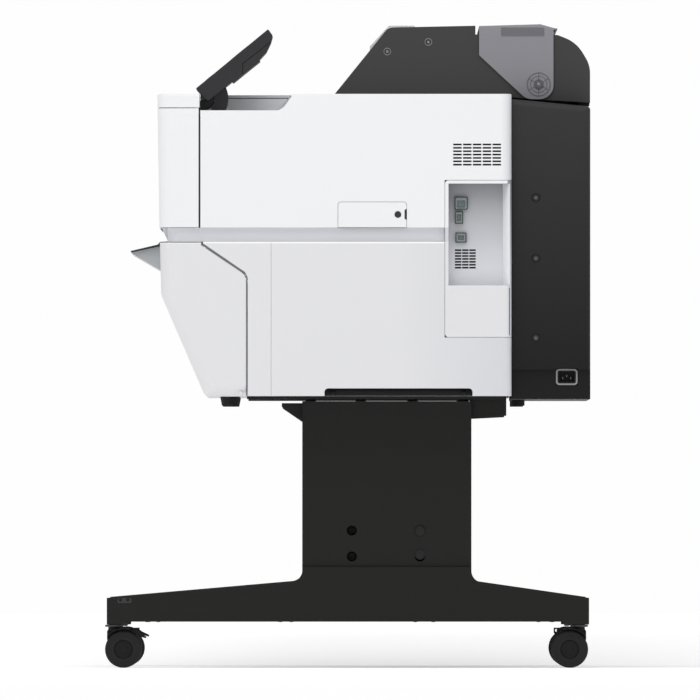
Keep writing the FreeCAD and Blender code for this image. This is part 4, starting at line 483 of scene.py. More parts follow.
def build_finishes(settings):
    for build in (build_grain, build_drift, build_dust, build_brush, build_plane_mask, build_soft_edge):
        build()
    # Painted shade: both covers turn greyer towards their rear; the lower covers also get a painted highlight along
    # their top edge.
    cover("white_cover", tuple(settings.white), linear(219, 220, 223), 9 * MM, 18 * MM)
    cover("lower_cover", tuple(settings.lower_white), linear(214, 215, 219), 95 * MM, 190 * MM, SHELF - 2.4 * MM)
    moulded("grey_band", tuple(settings.band))
    # Painted light: the tray's inner wall runs from darker at its front to lighter than the covers' white at its
    # back, standing in for the shade it sits in.
    painted_shade_moulding("tray_wall", linear(236, 239, 244), linear(246, 247, 250), (0, -0.172, 0), (0, 1, 0), 0.15)
    moulded("tray_rail", linear(236, 237, 240))
    moulded("roll_cover", tuple(settings.roll_black), rough=0.5, depth=0.00003, dust=0.06)
    # Painted shade: the rear cover darkens from its top colour to near black towards the bottom.
    painted_shade_moulding("black_cover", linear(19, 19, 19), tuple(settings.rear_black), (0, 0, 0.74), (0, 0, 1), 0.5, dark=True)
    moulded("panel_grey", tuple(settings.panel), rough=0.46, dust=0.04)
    moulded("panel_back", linear(50, 50, 51), rough=0.5)
    moulded("key_black", linear(30, 30, 31), rough=0.36)
    moulded("port_black", linear(22, 22, 24), rough=0.4)
    moulded("joint_shadow", linear(26, 26, 28), rough=0.8)
    moulded("seam_shade_grey", linear(120, 121, 126), rough=0.8)
    moulded("rim_grey", linear(140, 140, 142), rough=0.45)
    moulded("rim_dark", linear(88, 88, 92), rough=0.45)
    moulded("vent_shade_black", linear(5, 5, 6), rough=0.7)
    # Near-black for screw recesses and the gap under the roll cheeks: painted shade.
    moulded("recess_shade_black", linear(16, 16, 16), rough=0.5)
    # Lighter than the covers' white: painted light on the port recess's slanted face, which sits in shade.
    moulded("lit_port_white", linear(250, 250, 252), rough=0.42)
    moulded("jack_rim", linear(66, 72, 74), rough=0.4)
    moulded("jack_shell", linear(128, 137, 137), rough=0.4)
    moulded("jack_throat", linear(130, 144, 142), rough=0.4)
    moulded("jack_contact", linear(152, 160, 156), rough=0.35)
    moulded("lamp_lens", linear(190, 205, 170), rough=0.2)
    moulded("display_row", linear(38, 41, 47), rough=0.3)
    moulded("clip_grey", linear(58, 58, 59), rough=0.45)
    moulded("hub_black", linear(20, 20, 20), rough=0.5)
    painted("cap_black", linear(33, 33, 33), rough=0.5, dust=0.0)
    moulded("caster_plastic", tuple(settings.caster), rough=0.45, dust=0.08)
    moulded("wheel_rubber", linear(33, 33, 33), rough=0.6, scale=700.0, dust=0.1)
    moulded("foot_rubber", linear(30, 30, 30), rough=0.7, scale=600.0)
    moulded("cartridge_plastic", linear(36, 36, 38), rough=0.4)
    painted("black_steel", tuple(settings.steel_black))
    painted("screw_steel", linear(58, 58, 60), rough=0.32, dust=0.0)
    metal("bare_steel", linear(190, 192, 195), rough=0.36)
    metal("roller_steel", linear(205, 206, 208), rough=0.22)
    metal("bearing_steel", linear(92, 93, 95), rough=0.4)
    metal("screw_rim", linear(150, 151, 153), rough=0.35)
    metal("screw_dim", linear(122, 123, 125), rough=0.35)
    clear("smoked_clear", tuple(settings.smoke), 0.86, 0.16)
    clear("smoke_edge", linear(118, 117, 123), 0.7, 0.2)
    clear("window_clear", linear(66, 68, 74), 0.62, 0.1)
    clear("clear_strip", linear(236, 237, 240), 0.55, 0.14)
    port_panel_finish(settings)
    guide_finish()
    electronics_finish()
    lamp_finish("lamp_blue", linear(90, 170, 235), 0.35)
    lamp_finish("mark_white", linear(205, 207, 210), 0.0)
    screen_finish()


# Where a CAD node's finish differs from its slot's
FINISH_OF = {
    "lower_cover_right": "lower_cover", "lower_cover_left": "lower_cover", "lower_front_panel": "lower_cover",
    "ink_cover_right": "lower_cover", "ink_cover_left": "lower_cover",
    "roll_cheek_right": "roll_cover", "roll_cheek_left": "roll_cover", "roll_housing": "roll_cover",
    "front_window": "window_clear", "power_inlet": "port_black", "platen": "port_black",
    "carriage": "key_black", "ink_bays": "port_black",
}


# Mesh building

def finish_piece(mesh, name, finish, body, smooth=True):
    """Links a bmesh as a piece, gives it its finish and lets it ride on its body."""
    data = bpy.data.meshes.new(name)
    bmesh.ops.recalc_face_normals(mesh, faces=mesh.faces)
    mesh.to_mesh(data)
    mesh.free()
    piece = bpy.data.objects.new(name, data)
    bpy.context.scene.collection.objects.link(piece)
    if smooth:
        data.shade_smooth()
        data.set_sharp_from_angle(angle=math.radians(32))
    data.materials.append(FINISH[finish])
    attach(piece, body)
    return piece


def bevel_sharp(mesh, width, angle=28, segments=2):
    """Rounds every edge sharper than an angle."""
    if width <= 0:
        return
    sharp = [edge for edge in mesh.edges
             if len(edge.link_faces) == 2 and edge.calc_face_angle(0) > math.radians(angle)]
    bmesh.ops.bevel(mesh, geom=sharp, offset=width, offset_type="OFFSET", segments=segments, profile=0.6,
                    affect="EDGES", clamp_overlap=True)


def oriented(normal):
    """A turn that takes Z to a direction and keeps X as near to the machine's X as it can."""
    z = Vector(normal).normalized()
    guide = Vector((1, 0, 0)) if abs(z.x) < 0.9 else Vector((0, 1, 0))
    y = z.cross(guide).normalized()
    x = y.cross(z).normalized()
    return Matrix((x, y, z)).transposed().to_4x4()


def add_prism(mesh, outline, place, low, high, bevel=0.0, segments=2):
    """An outline in a plane, carried from low to high along the plane's normal; place maps (u, v, w) to the frame."""
    own = bmesh.new()
    bottom = [own.verts.new(place(u, v, low)) for u, v in outline]
    top = [own.verts.new(place(u, v, high)) for u, v in outline]
    own.faces.new(bottom)
    own.faces.new(top)
    for index in range(len(outline)):
        after = (index + 1) % len(outline)
        own.faces.new((bottom[index], bottom[after], top[after], top[index]))
    bmesh.ops.recalc_face_normals(own, faces=own.faces)
    bevel_sharp(own, bevel, segments=segments)
    merge(mesh, own)


def merge(mesh, own):
    """Moves a small mesh's faces into a larger one."""
    data = bpy.data.meshes.new("part")
    own.to_mesh(data)
    own.free()
    mesh.from_mesh(data)
    bpy.data.meshes.remove(data)


def rounded(u_low, u_high, v_low, v_high, radius, steps=5):
    """A rectangle with round corners as an outline."""
    points = []
    for cu, cv, start in ((u_high - radius, v_high - radius, 0), (u_low + radius, v_high - radius, 90),
                          (u_low + radius, v_low + radius, 180), (u_high - radius, v_low + radius, 270)):
        for step in range(steps + 1):
            turn = math.radians(start + 90 * step / steps)
            points.append((cu + radius * math.cos(turn), cv + radius * math.sin(turn)))
    return points


def circle(u, v, radius, sides=40):
    return [(u + radius * math.cos(math.tau * index / sides), v + radius * math.sin(math.tau * index / sides))
            for index in range(sides)]


def yz(hand=1):
    """Places an outline of (y, z) at an x, on one hand of the machine."""
    return lambda u, v, w: Vector((hand * w, u, v))


def xy():
    """Places an outline of (x, y) at a height."""
    return lambda u, v, w: Vector((u, v, w))


def add_turned(mesh, profile, centre, axis, sides=40):
    """A body of revolution; profile is a run of (distance along the axis, radius), closed at ends of radius 0."""
    own = bmesh.new()
    turn = Matrix.Translation(Vector(centre)) @ oriented(axis)
    rings = []
    for along, radius in profile:
        if radius <= 1e-7:
            rings.append([own.verts.new(turn @ Vector((0, 0, along)))])
        else:
            rings.append([own.verts.new(turn @ Vector((radius * math.cos(math.tau * index / sides),
                                                       radius * math.sin(math.tau * index / sides), along)))
                          for index in range(sides)])
    for first, second in zip(rings, rings[1:]):
        for index in range(sides):
            after = (index + 1) % sides
            corners = [first[index % len(first)], first[after % len(first)],
                       second[after % len(second)], second[index % len(second)]]
            unique = list(dict.fromkeys(corners))
            if len(unique) > 2:
                own.faces.new(unique)
    bmesh.ops.recalc_face_normals(own, faces=own.faces)
    merge(mesh, own)


def add_frame(mesh, outer, inner, place, low, high, bevel=0.0):
    """A flat ring between two outlines with the same number of points."""
    own = bmesh.new()
    levels = []
    for level in (low, high):
        levels.append(([own.verts.new(place(u, v, level)) for u, v in outer],
                       [own.verts.new(place(u, v, level)) for u, v in inner]))
    count = len(outer)
    for index in range(count):
        after = (index + 1) % count
        for outside, inside in levels:
            own.faces.new((outside[index], outside[after], inside[after], inside[index]))
        for side in (0, 1):
            own.faces.new((levels[0][side][index], levels[0][side][after],
                           levels[1][side][after], levels[1][side][index]))
    bmesh.ops.recalc_face_normals(own, faces=own.faces)
    bevel_sharp(own, bevel)
    merge(mesh, own)


def strip(start, end, half):
    """The corners of a straight strip between two points in a plane."""
    across = (end - start).orthogonal().normalized() * half
    return [tuple(corner) for corner in (start - across, end - across, end + across, start + across)]


def screw_profile(radius, lift):
    """A pan head with a recess, as distance along the axis and radius."""
    return [(0, 0.0), (0, radius), (lift * 0.55, radius), (lift * 0.9, radius * 0.82), (lift, radius * 0.6),
            (lift, radius * 0.34), (lift * 0.25, radius * 0.24), (lift * 0.2, 0.0)]


def add_screw(mesh, centre, axis, radius, lift):
    add_turned(mesh, screw_profile(radius, lift), centre, axis, sides=28)


class Build:
    """Shared by the operators that build pieces."""

    bl_options = {"REGISTER", "UNDO"}

    def fittings(self, context):
        return context.scene.plotter_fittings


# Fittings of the right-hand side

RECESS_HEIGHT = 174.1 * MM
RECESS_FLOOR = SIDE - 28 * MM
JACK_FACE = RECESS_FLOOR + 6 * MM
# Each jack: front and back edge, bottom and top edge of its block, then the same of its opening
JACKS = (
    (183.7, 204.9, 784.6, 805.1, 187.2, 201.2, 787.1, 800.1),
    (184.3, 197.0, 760.4, 780.1, 186.7, 194.7, 763.6, 776.6),
    (185.2, 202.8, 728.1, 744.0, 188.7, 199.2, 731.6, 740.6),
)


class PLOTTER_OT_ports(Build, Operator):
    """Line the jacks with metal shells, contacts and lamps"""
    bl_idname = "plotter.ports"
    bl_label = "Ports"

    def execute(self, context):
        rims, shells, throats, pins = bmesh.new(), bmesh.new(), bmesh.new(), bmesh.new()
        for numbers in JACKS:
            y0, y1, z0, z1, a0, a1, b0, b1 = (number * MM for number in numbers)
            add_frame(rims, rounded(y0 - 0.7 * MM, y1 + 0.7 * MM, z0 - 0.7 * MM, z1 + 0.7 * MM, 1.0 * MM),
                      rounded(y0 + 0.9 * MM, y1 - 0.9 * MM, z0 + 0.9 * MM, z1 - 0.9 * MM, 0.6 * MM),
                      yz(), RECESS_FLOOR + 0.1 * MM, JACK_FACE + 0.7 * MM, 0.25 * MM)
            add_frame(shells, rounded(y0 + 1.0 * MM, y1 - 1.0 * MM, z0 + 1.0 * MM, z1 - 1.0 * MM, 0.5 * MM),
                      rounded(a0 + 0.3 * MM, a1 - 0.3 * MM, b0 + 0.3 * MM, b1 - 0.3 * MM, 0.4 * MM),
                      yz(), JACK_FACE, JACK_FACE + 0.5 * MM, 0.15 * MM)
            add_prism(throats, rounded(a0 + 0.1 * MM, a1 - 0.1 * MM, b0 + 0.1 * MM, b1 - 0.1 * MM, 0.4 * MM), yz(),
                      RECESS_FLOOR + 0.1 * MM, RECESS_FLOOR + 0.8 * MM)
            count = 8 if y1 - y0 > 20 * MM else 4
            for index in range(count):
                y = a0 + (a1 - a0) * (index + 0.8) / (count + 0.6)
                add_prism(pins, [(y, b0 + 2.5 * MM), (y + 0.5 * MM, b0 + 2.5 * MM), (y + 0.5 * MM, b1 - 3 * MM),
                                 (y, b1 - 3 * MM)], yz(), RECESS_FLOOR + 0.8 * MM, RECESS_FLOOR + 1.5 * MM)
        finish_piece(rims, "jack_rims", "jack_rim", "root")
        finish_piece(shells, "jack_shells", "jack_shell", "root")
        finish_piece(throats, "jack_throats", "jack_throat", "root")
        finish_piece(pins, "jack_contacts", "jack_contact", "root")
        lamps = bmesh.new()
        y0, y1, z0 = (JACKS[0][index] * MM for index in (0, 1, 2))
        for y in (y0 + 2.6 * MM, y1 - 2.6 * MM):
            add_turned(lamps, [(0, 0), (0, 0.9 * MM), (0.5 * MM, 0.7 * MM), (0.7 * MM, 0)],
                       (JACK_FACE + 0.4 * MM, y, z0 + 1.9 * MM), (1, 0, 0), 16)
        finish_piece(lamps, "link_lamps", "lamp_lens", "root")
        return {"FINISHED"}


class PLOTTER_OT_vents(Build, Operator):
    """Back the vents with dark sheets, painted shade of the dark inside, and give the port recess its slanted rear
    face in a brighter white, painted light
    """
    bl_idname = "plotter.vents"
    bl_label = "Vents"

    def execute(self, context):
        # The screens are near-black sheets behind the slots: painted shade of the machine's inside.
        for side, hand in HANDS:
            screen = bmesh.new()
            add_prism(screen, rounded(176 * MM, 266 * MM, 855.5 * MM, 900 * MM, 3 * MM, 4), yz(hand),
                      SIDE - WALL - 1 * MM, SIDE - 0.9 * MM, 0.3 * MM)
            finish_piece(screen, "vent_shade_backing_" + side, "vent_shade_black", "root")
        low = bmesh.new()
        back = BOX["port_panel"][0].x
        add_prism(low, rounded(181 * MM, 222 * MM, 678.5 * MM, 719 * MM, 2 * MM, 4), yz(), back - 1 * MM,
                  RECESS_FLOOR - 0.8 * MM, 0.3 * MM)
        finish_piece(low, "port_vent_screen", "vent_shade_black", "root")
        # Its white is brighter than the covers': painted light on a face in shade.
        face = bmesh.new()
        bottom, top = RECESS_TOP - RECESS_HEIGHT, RECESS_TOP
        edge = BACK - 3 * MM
        near, rim = 265.5 * MM, SIDE - 2.6 * MM
        add_prism(face, [(RECESS_FLOOR, near), (RECESS_FLOOR + 1 * MM, near), (rim, edge - 0.8 * MM), (rim, edge),
                         (RECESS_FLOOR, edge)], xy(), bottom + 0.1 * MM, top - 0.1 * MM, 0.3 * MM)
        finish_piece(face, "port_recess_slant", "lit_port_white", "root")
        return {"FINISHED"}


class PLOTTER_OT_ink_joints(Build, Operator):
    """Run a grey strip in the joint behind each ink cover, painted shade of the seam"""
    bl_idname = "plotter.ink_joints"
    bl_label = "Ink cover joints"

    def execute(self, context):
        half = self.fittings(context).seam_shade_strip / 2
        top, low = SHELF - 1.5 * MM, BASE + 1.5 * MM
        line = [(-248.6, top / MM), (-248.6, 724.0), (-176.4, 675.6), (-172.9, 671.0), (-172.0, 665.6),
                (-172.0, low / MM)]
        for side, hand in HANDS:
            lip = bmesh.new()
            for (y0, z0), (y1, z1) in zip(line, line[1:]):
                outline = strip(Vector((y0, z0)) * MM, Vector((y1, z1)) * MM, half)
                add_prism(lip, outline, yz(hand), SIDE - 2.8 * MM, SIDE - 0.3 * MM)
            finish_piece(lip, "ink_joint_shade_strip_" + side, "seam_shade_grey", "root", smooth=False)
        return {"FINISHED"}


class PLOTTER_OT_rear_screws(Build, Operator):
    """Cup the screws of the rear cover with dark rings, painted shade of their recesses"""
    bl_idname = "plotter.rear_screws"
    bl_label = "Rear cover screws"

    def execute(self, context):
        face = BOX["rear_cover"][1].x
        row = 322.2 * MM
        for side, hand in HANDS:
            cups, dots = bmesh.new(), bmesh.new()
            for z in (804.2, 700.6, 564.5):
                add_frame(cups, circle(row, z * MM, 7.8 * MM), circle(row, z * MM, 4.6 * MM), yz(hand),
                          face - 1.4 * MM, face + 0.15 * MM, 0.4 * MM)
                add_turned(dots, [(-1 * MM, 0), (-1 * MM, 3.4 * MM), (0.1 * MM, 3.2 * MM), (0.6 * MM, 2.0 * MM),
                                  (0.7 * MM, 0)], (hand * (face - 0.9 * MM), row, z * MM), (hand, 0, 0), 24)
            finish_piece(cups, "rear_screw_cups_" + side, "recess_shade_black", "root")
            finish_piece(dots, "rear_screw_heads_" + side, "screw_dim", "root")
        return {"FINISHED"}


class PLOTTER_OT_inlet(Build, Operator):
    """Ring the power inlet with its grey surround and line its socket"""
    bl_idname = "plotter.inlet"
    bl_label = "Power inlet"

    def execute(self, context):
        low, high = BOX["power_inlet"]
        ring = bmesh.new()
        outer = rounded(low.y + 0.2 * MM, high.y - 0.2 * MM, low.z + 0.2 * MM, high.z - 0.2 * MM, 5.6 * MM, 8)
        inner = rounded(low.y + 3.0 * MM, high.y - 3.0 * MM, low.z + 3.0 * MM, high.z - 3.0 * MM, 3.4 * MM, 8)
        add_frame(ring, outer, inner, yz(), high.x - 0.4 * MM, high.x + 0.7 * MM, 0.35 * MM)
        finish_piece(ring, "inlet_surround", "rim_grey", "root")
        blades = bmesh.new()
        middle = (low + high) / 2
        for dy, dz in ((-7, -2), (0, 2), (7, -2)):
            y, z = middle.y + dy * MM, middle.z + dz * MM
            add_prism(blades, rounded(y - 1.2 * MM, y + 1.2 * MM, z - 2.2 * MM, z + 2.2 * MM, 0.5 * MM, 3), yz(),
                      high.x - 16 * MM, high.x - 8 * MM, 0.3 * MM)
        finish_piece(blades, "inlet_blades", "bearing_steel", "root")
        return {"FINISHED"}


class PLOTTER_OT_grips(Build, Operator):
    """Line the carrying recesses in the lower edge with black hand cups"""
    bl_idname = "plotter.grips"
    bl_label = "Hand grips"

    def execute(self, context):
        for side, hand in HANDS:
            cup = bmesh.new()
            y0, y1 = -39.1 * MM, 213.6 * MM
            z0, z1 = BASE + 0.3 * MM, BASE + 12.9 * MM
            add_prism(cup, [(y0, z0), (y1, z0), (y1, z1 - 5 * MM), (y1 - 1.5 * MM, z1 - 1.5 * MM), (y1 - 5 * MM, z1),
                            (y0 + 5 * MM, z1), (y0 + 1.5 * MM, z1 - 1.5 * MM), (y0, z1 - 5 * MM)], yz(hand),
                      SIDE - 24 * MM, SIDE - 22.5 * MM, 0.5 * MM)
            for y in (y0 + 14 * MM, y1 - 14 * MM):
                add_turned(cup, [(0, 0), (0, 5 * MM), (1.6 * MM, 4.6 * MM), (2.4 * MM, 2.5 * MM), (2.6 * MM, 0)],
                           (hand * (SIDE - 22.6 * MM), y, z0 + 5 * MM), (hand, 0, 0), 24)
            finish_piece(cup, "grip_cup_" + side, "port_black", "root")
        return {"FINISHED"}


class PLOTTER_OT_tray(Build, Operator):
    """Line the tray of the folded panel with its two-part inner wall"""
    bl_idname = "plotter.tray"
    bl_label = "Panel tray"

    def execute(self, context):
        wall = 347 * MM
        front, end, slope = -242 * MM, -95.8 * MM, 22 * MM
        line = DECK - 5.6 * MM
        lean = slope / (DECK - TRAY)

        def back(z):
            return end - 1.4 * MM - lean * (DECK - z)

        lower = bmesh.new()
        add_prism(lower, [(front, TRAY + 0.4 * MM), (back(TRAY) - 5 * MM, TRAY + 0.4 * MM),
                          (back(TRAY + 2.6 * MM), TRAY + 3.2 * MM), (back(line), line - 0.8 * MM),
                          (front, line - 0.8 * MM)], yz(), wall + 0.1 * MM, wall + 1.2 * MM, 0.3 * MM)
        finish_piece(lower, "tray_wall_lower", "tray_wall", "root")
        upper = bmesh.new()
        add_prism(upper, [(front, line + 0.8 * MM), (back(line), line + 0.8 * MM), (back(DECK), DECK - 0.2 * MM),
                          (front, DECK - 0.2 * MM)], yz(), wall + 0.1 * MM, wall + 1.4 * MM, 0.3 * MM)
        finish_piece(upper, "tray_wall_upper", "tray_rail", "root")
        # The joint strip is a grey sheet in the gap between the two plates: painted shade of the groove.
        shadow = bmesh.new()
        add_prism(shadow, [(front, line - 1.2 * MM), (back(line), line - 1.2 * MM), (back(line), line + 1.2 * MM),
                           (front, line + 1.2 * MM)], yz(), wall + 0.05 * MM, wall + 0.4 * MM)
        finish_piece(shadow, "tray_wall_joint", "seam_shade_grey", "root")
        return {"FINISHED"}


# Control panel, in its own coordinates: across from its middle, along from its pivot, and out of its face

TILT = math.radians(39.4)
PANEL_ALONG = Vector((0, math.cos(TILT), math.sin(TILT)))
PANEL_OUT = Vector((0, -math.sin(TILT), math.cos(TILT)))
PANEL_FACE = 19.7 * MM
PANEL_HALF = 79 * MM
ARROW_PAD = (46 * MM, 98 * MM)
POWER_KEY = (54 * MM, 30 * MM)


def on_panel(across, along, out):
    return PIVOT + Vector((across, 0, 0)) + PANEL_ALONG * along + PANEL_OUT * out


def panel_side(hand):
    """Places an outline of (along, out) on a side of the panel."""
    return lambda u, v, w: on_panel(hand * w, u, v)


class PLOTTER_OT_control_panel(Build, Operator):
    """Give the control panel its rear shell, display, lamp and key marks"""
    bl_idname = "plotter.control_panel"
    bl_label = "Control panel"

    def shell(self):
        outline = [(150, -0.6), (90.4, 0.6), (80.2, -11.2), (80.2, -13.0), (116.2, -13.5), (117.2, -11.0),
                   (133.5, -8.4)]
        shell = bmesh.new()
        groove = bmesh.new()
        line = [(150.2, 0.7), (90, 2.2), (79, -10.8), (79, -13.2), (80.4, -13.2), (80.4, -11.4), (90.6, 0.5),
                (150.0, -0.9)]
        for hand in (1, -1):
            add_prism(shell, [(u * MM, v * MM) for u, v in outline], panel_side(hand), PANEL_HALF - 0.1 * MM,
                      PANEL_HALF + 0.5 * MM, 0.2 * MM)
            add_prism(groove, [(u * MM, v * MM) for u, v in line], panel_side(hand), PANEL_HALF - 0.1 * MM,
                      PANEL_HALF + 0.12 * MM)
        finish_piece(shell, "panel_rear_shell", "panel_back", "control_panel")
        finish_piece(groove, "panel_shell_groove", "joint_shadow", "control_panel")

    def display(self, width):
        left_edge, right_edge = 14 * MM - PANEL_HALF, 8 * MM
        middle = (left_edge + right_edge) / 2
        low, high = 63 * MM, 131 * MM
        glass = bmesh.new()
        add_prism(glass, rounded(middle - width / 2 - 4 * MM, middle + width / 2 + 4 * MM, low, high, 3 * MM, 6),
                  on_panel, PANEL_FACE - 0.9 * MM, PANEL_FACE - 0.1 * MM, 0.2 * MM)
        finish_piece(glass, "display_glass", "screen_glass", "control_panel")
        frame_ring = bmesh.new()
        add_frame(frame_ring, rounded(middle - width / 2 - 6.2 * MM, middle + width / 2 + 6.2 * MM, low - 2.4 * MM,
                                      high + 2.4 * MM, 4.6 * MM, 6),
                  rounded(middle - width / 2 - 3.6 * MM, middle + width / 2 + 3.6 * MM, low + 0.4 * MM,
                          high - 0.4 * MM, 2.8 * MM, 6),
                  on_panel, PANEL_FACE - 0.5 * MM, PANEL_FACE + 0.35 * MM, 0.3 * MM)
        finish_piece(frame_ring, "display_bezel", "key_black", "control_panel")
        picture = bmesh.new()
        left, right = middle - width / 2 + 3 * MM, middle + width / 2 - 3 * MM
        for row in range(4):
            v = high - 12 * MM - row * 13 * MM
            add_prism(picture, rounded(left, right - (row % 2) * 16 * MM, v - 3.2 * MM, v + 3.2 * MM, 1.5 * MM, 4),
                      on_panel, PANEL_FACE - 0.12 * MM, PANEL_FACE - 0.05 * MM)
        finish_piece(picture, "display_rows", "display_row", "control_panel")

    def lamps(self):
        lens = bmesh.new()
        for across in (-50, -38, -26):
            add_prism(lens, rounded((across - 2.5) * MM, (across + 2.5) * MM, 31 * MM, 33.2 * MM, 1.0 * MM, 4),
                      on_panel, PANEL_FACE - 0.3 * MM, PANEL_FACE + 0.25 * MM, 0.15 * MM)
        finish_piece(lens, "panel_lamps", "lamp_lens", "control_panel")

    def marks(self):
        """A plain on/off mark, four arrows and a ring, raised a hair on their keys."""
        heights = {}
        for key in ("power_key", "arrow_pad", "ok_key"):
            heights[key] = max((PANEL_OUT.dot(vertex.co - PIVOT)) for vertex in NODES[key].data.vertices)
        arrows = bmesh.new()
        u, v = ARROW_PAD
        for turn in range(4):
            angle = math.radians(90 * turn)
            points = []
            for across, along in ((-2.2, 12.6), (2.2, 12.6), (0, 15.6)):
                points.append((u + (across * math.cos(angle) - along * math.sin(angle)) * MM,
                               v + (across * math.sin(angle) + along * math.cos(angle)) * MM))
            add_prism(arrows, points, on_panel, heights["arrow_pad"] - 0.02 * MM, heights["arrow_pad"] + 0.06 * MM)
        finish_piece(arrows, "arrow_marks", "mark_white", "arrow_pad")
        ring = bmesh.new()
        add_frame(ring, circle(*ARROW_PAD, 5.4 * MM), circle(*ARROW_PAD, 4.8 * MM), on_panel,
                  heights["ok_key"] - 0.02 * MM, heights["ok_key"] + 0.06 * MM)
        finish_piece(ring, "ok_ring", "mark_white", "ok_key")
        power = bmesh.new()
        add_frame(power, circle(*POWER_KEY, 3.4 * MM), circle(*POWER_KEY, 2.8 * MM), on_panel,
                  heights["power_key"] - 0.02 * MM, heights["power_key"] + 0.06 * MM)
        add_prism(power, rounded(53.6 * MM, 54.4 * MM, 31 * MM, 34.6 * MM, 0.3 * MM, 3), on_panel,
                  heights["power_key"] - 0.02 * MM, heights["power_key"] + 0.08 * MM)
        finish_piece(power, "power_mark", "lamp_blue", "power_key")

    def execute(self, context):
        self.shell()
        self.display(self.fittings(context).screen_width)
        self.lamps()
        self.marks()
        return {"FINISHED"}


# Roll unit

class PLOTTER_OT_roll_unit(Build, Operator):
    """Add the lid's hubs and ribs, and the cheeks' screws and joint strips"""
    bl_idname = "plotter.roll_unit"
    bl_label = "Roll unit"

    def lid(self, hand, side):
        face = LID.x
        axis = ROLL.yz
        hub = bmesh.new()
        for outer, inner, lift in ((20.6, 18.8, 0.9), (14.6, 13.4, 0.6), (8.6, 7.6, 1.4)):
            add_frame(hub, circle(ROLL.y, ROLL.z, outer * MM, 64), circle(ROLL.y, ROLL.z, inner * MM, 64), yz(hand),
                      face - 2.4 * MM, face - 2 * MM + lift * MM, 0.2 * MM)
        for index in range(6):
            angle = math.radians(60 * index + 30)
            along = Vector((math.cos(angle), math.sin(angle)))
            add_prism(hub, strip(axis + along * 8 * MM, axis + along * 19 * MM, 0.7 * MM), yz(hand),
                      face - 2.4 * MM, face - 1.5 * MM, 0.1 * MM)
        finish_piece(hub, "lid_hub_" + side, "smoke_edge", "roll_lid")
        screw = bmesh.new()
        well = bmesh.new()
        add_frame(well, circle(ROLL.y, ROLL.z, 6.8 * MM), circle(ROLL.y, ROLL.z, 3.0 * MM), yz(hand),
                  face - 0.4 * MM, face + 0.5 * MM, 0.3 * MM)
        add_screw(screw, (hand * (face - 0.2 * MM), ROLL.y, ROLL.z), (hand, 0, 0), 2.9 * MM, 1.2 * MM)
        finish_piece(well, "lid_screw_well_" + side, "rim_dark", "roll_lid")
        finish_piece(screw, "lid_screw_" + side, "screw_rim", "roll_lid")
        rib = bmesh.new()
        add_prism(rib, rounded(263 * MM, 337 * MM, 1081 * MM, 1096 * MM, 2 * MM, 4), yz(hand), face - 2.2 * MM,
                  face - 1.7 * MM, 0.15 * MM)
        finish_piece(rib, "lid_rib_" + side, "smoke_edge", "roll_lid")

    def cheek(self, hand, side):
        cups, wells, heads = bmesh.new(), bmesh.new(), bmesh.new()
        # The dark wells are painted shade of the screw recesses.
        for y, z in ((68.1 * MM, 1055.1 * MM), (138.5 * MM, 1071.4 * MM)):
            place = (hand * CHEEK, y, z)
            add_frame(cups, circle(y, z, 6.4 * MM), circle(y, z, 5.2 * MM), yz(hand),
                      CHEEK - 0.6 * MM, CHEEK + 0.35 * MM, 0.2 * MM)
            add_turned(wells, [(-0.6 * MM, 0), (-0.6 * MM, 5.0 * MM), (0.1 * MM, 4.9 * MM), (0.12 * MM, 0)],
                       place, (hand, 0, 0), 32)
            add_turned(heads, [(0, 0), (0, 2.3 * MM), (0.3 * MM, 2.2 * MM), (0.5 * MM, 1.4 * MM), (0.5 * MM, 0)],
                       place, (hand, 0, 0), 20)
        finish_piece(cups, "cheek_screw_cups_" + side, "screw_rim", "root")
        finish_piece(wells, "cheek_screw_wells_" + side, "recess_shade_black", "root")
        finish_piece(heads, "cheek_screw_heads_" + side, "screw_rim", "root")
        # The joint strip is a dark block in the gap under the cheek: painted shade.
        joint = bmesh.new()
        back, below = BOX["roll_cheek_right"][1].y, BOX["roll_cheek_right"][0].z
        add_prism(joint, rounded(back - 20 * MM, back - 1 * MM, below - 6 * MM, below + 8 * MM, 1 * MM, 3), yz(hand),
                  CHEEK - 36 * MM, CHEEK - 6 * MM, 0.3 * MM)
        finish_piece(joint, "cheek_joint_strip_" + side, "recess_shade_black", "root")

    def execute(self, context):
        for side, hand in HANDS:
            self.lid(hand, side)
            self.cheek(hand, side)
        return {"FINISHED"}


# Stand

SOLE = BOX["stand_foot_right"][0].z
FOOT_FACE = BOX["stand_foot_right"][1].x
COLUMN_FACE = BOX["stand_column_right"][1].x


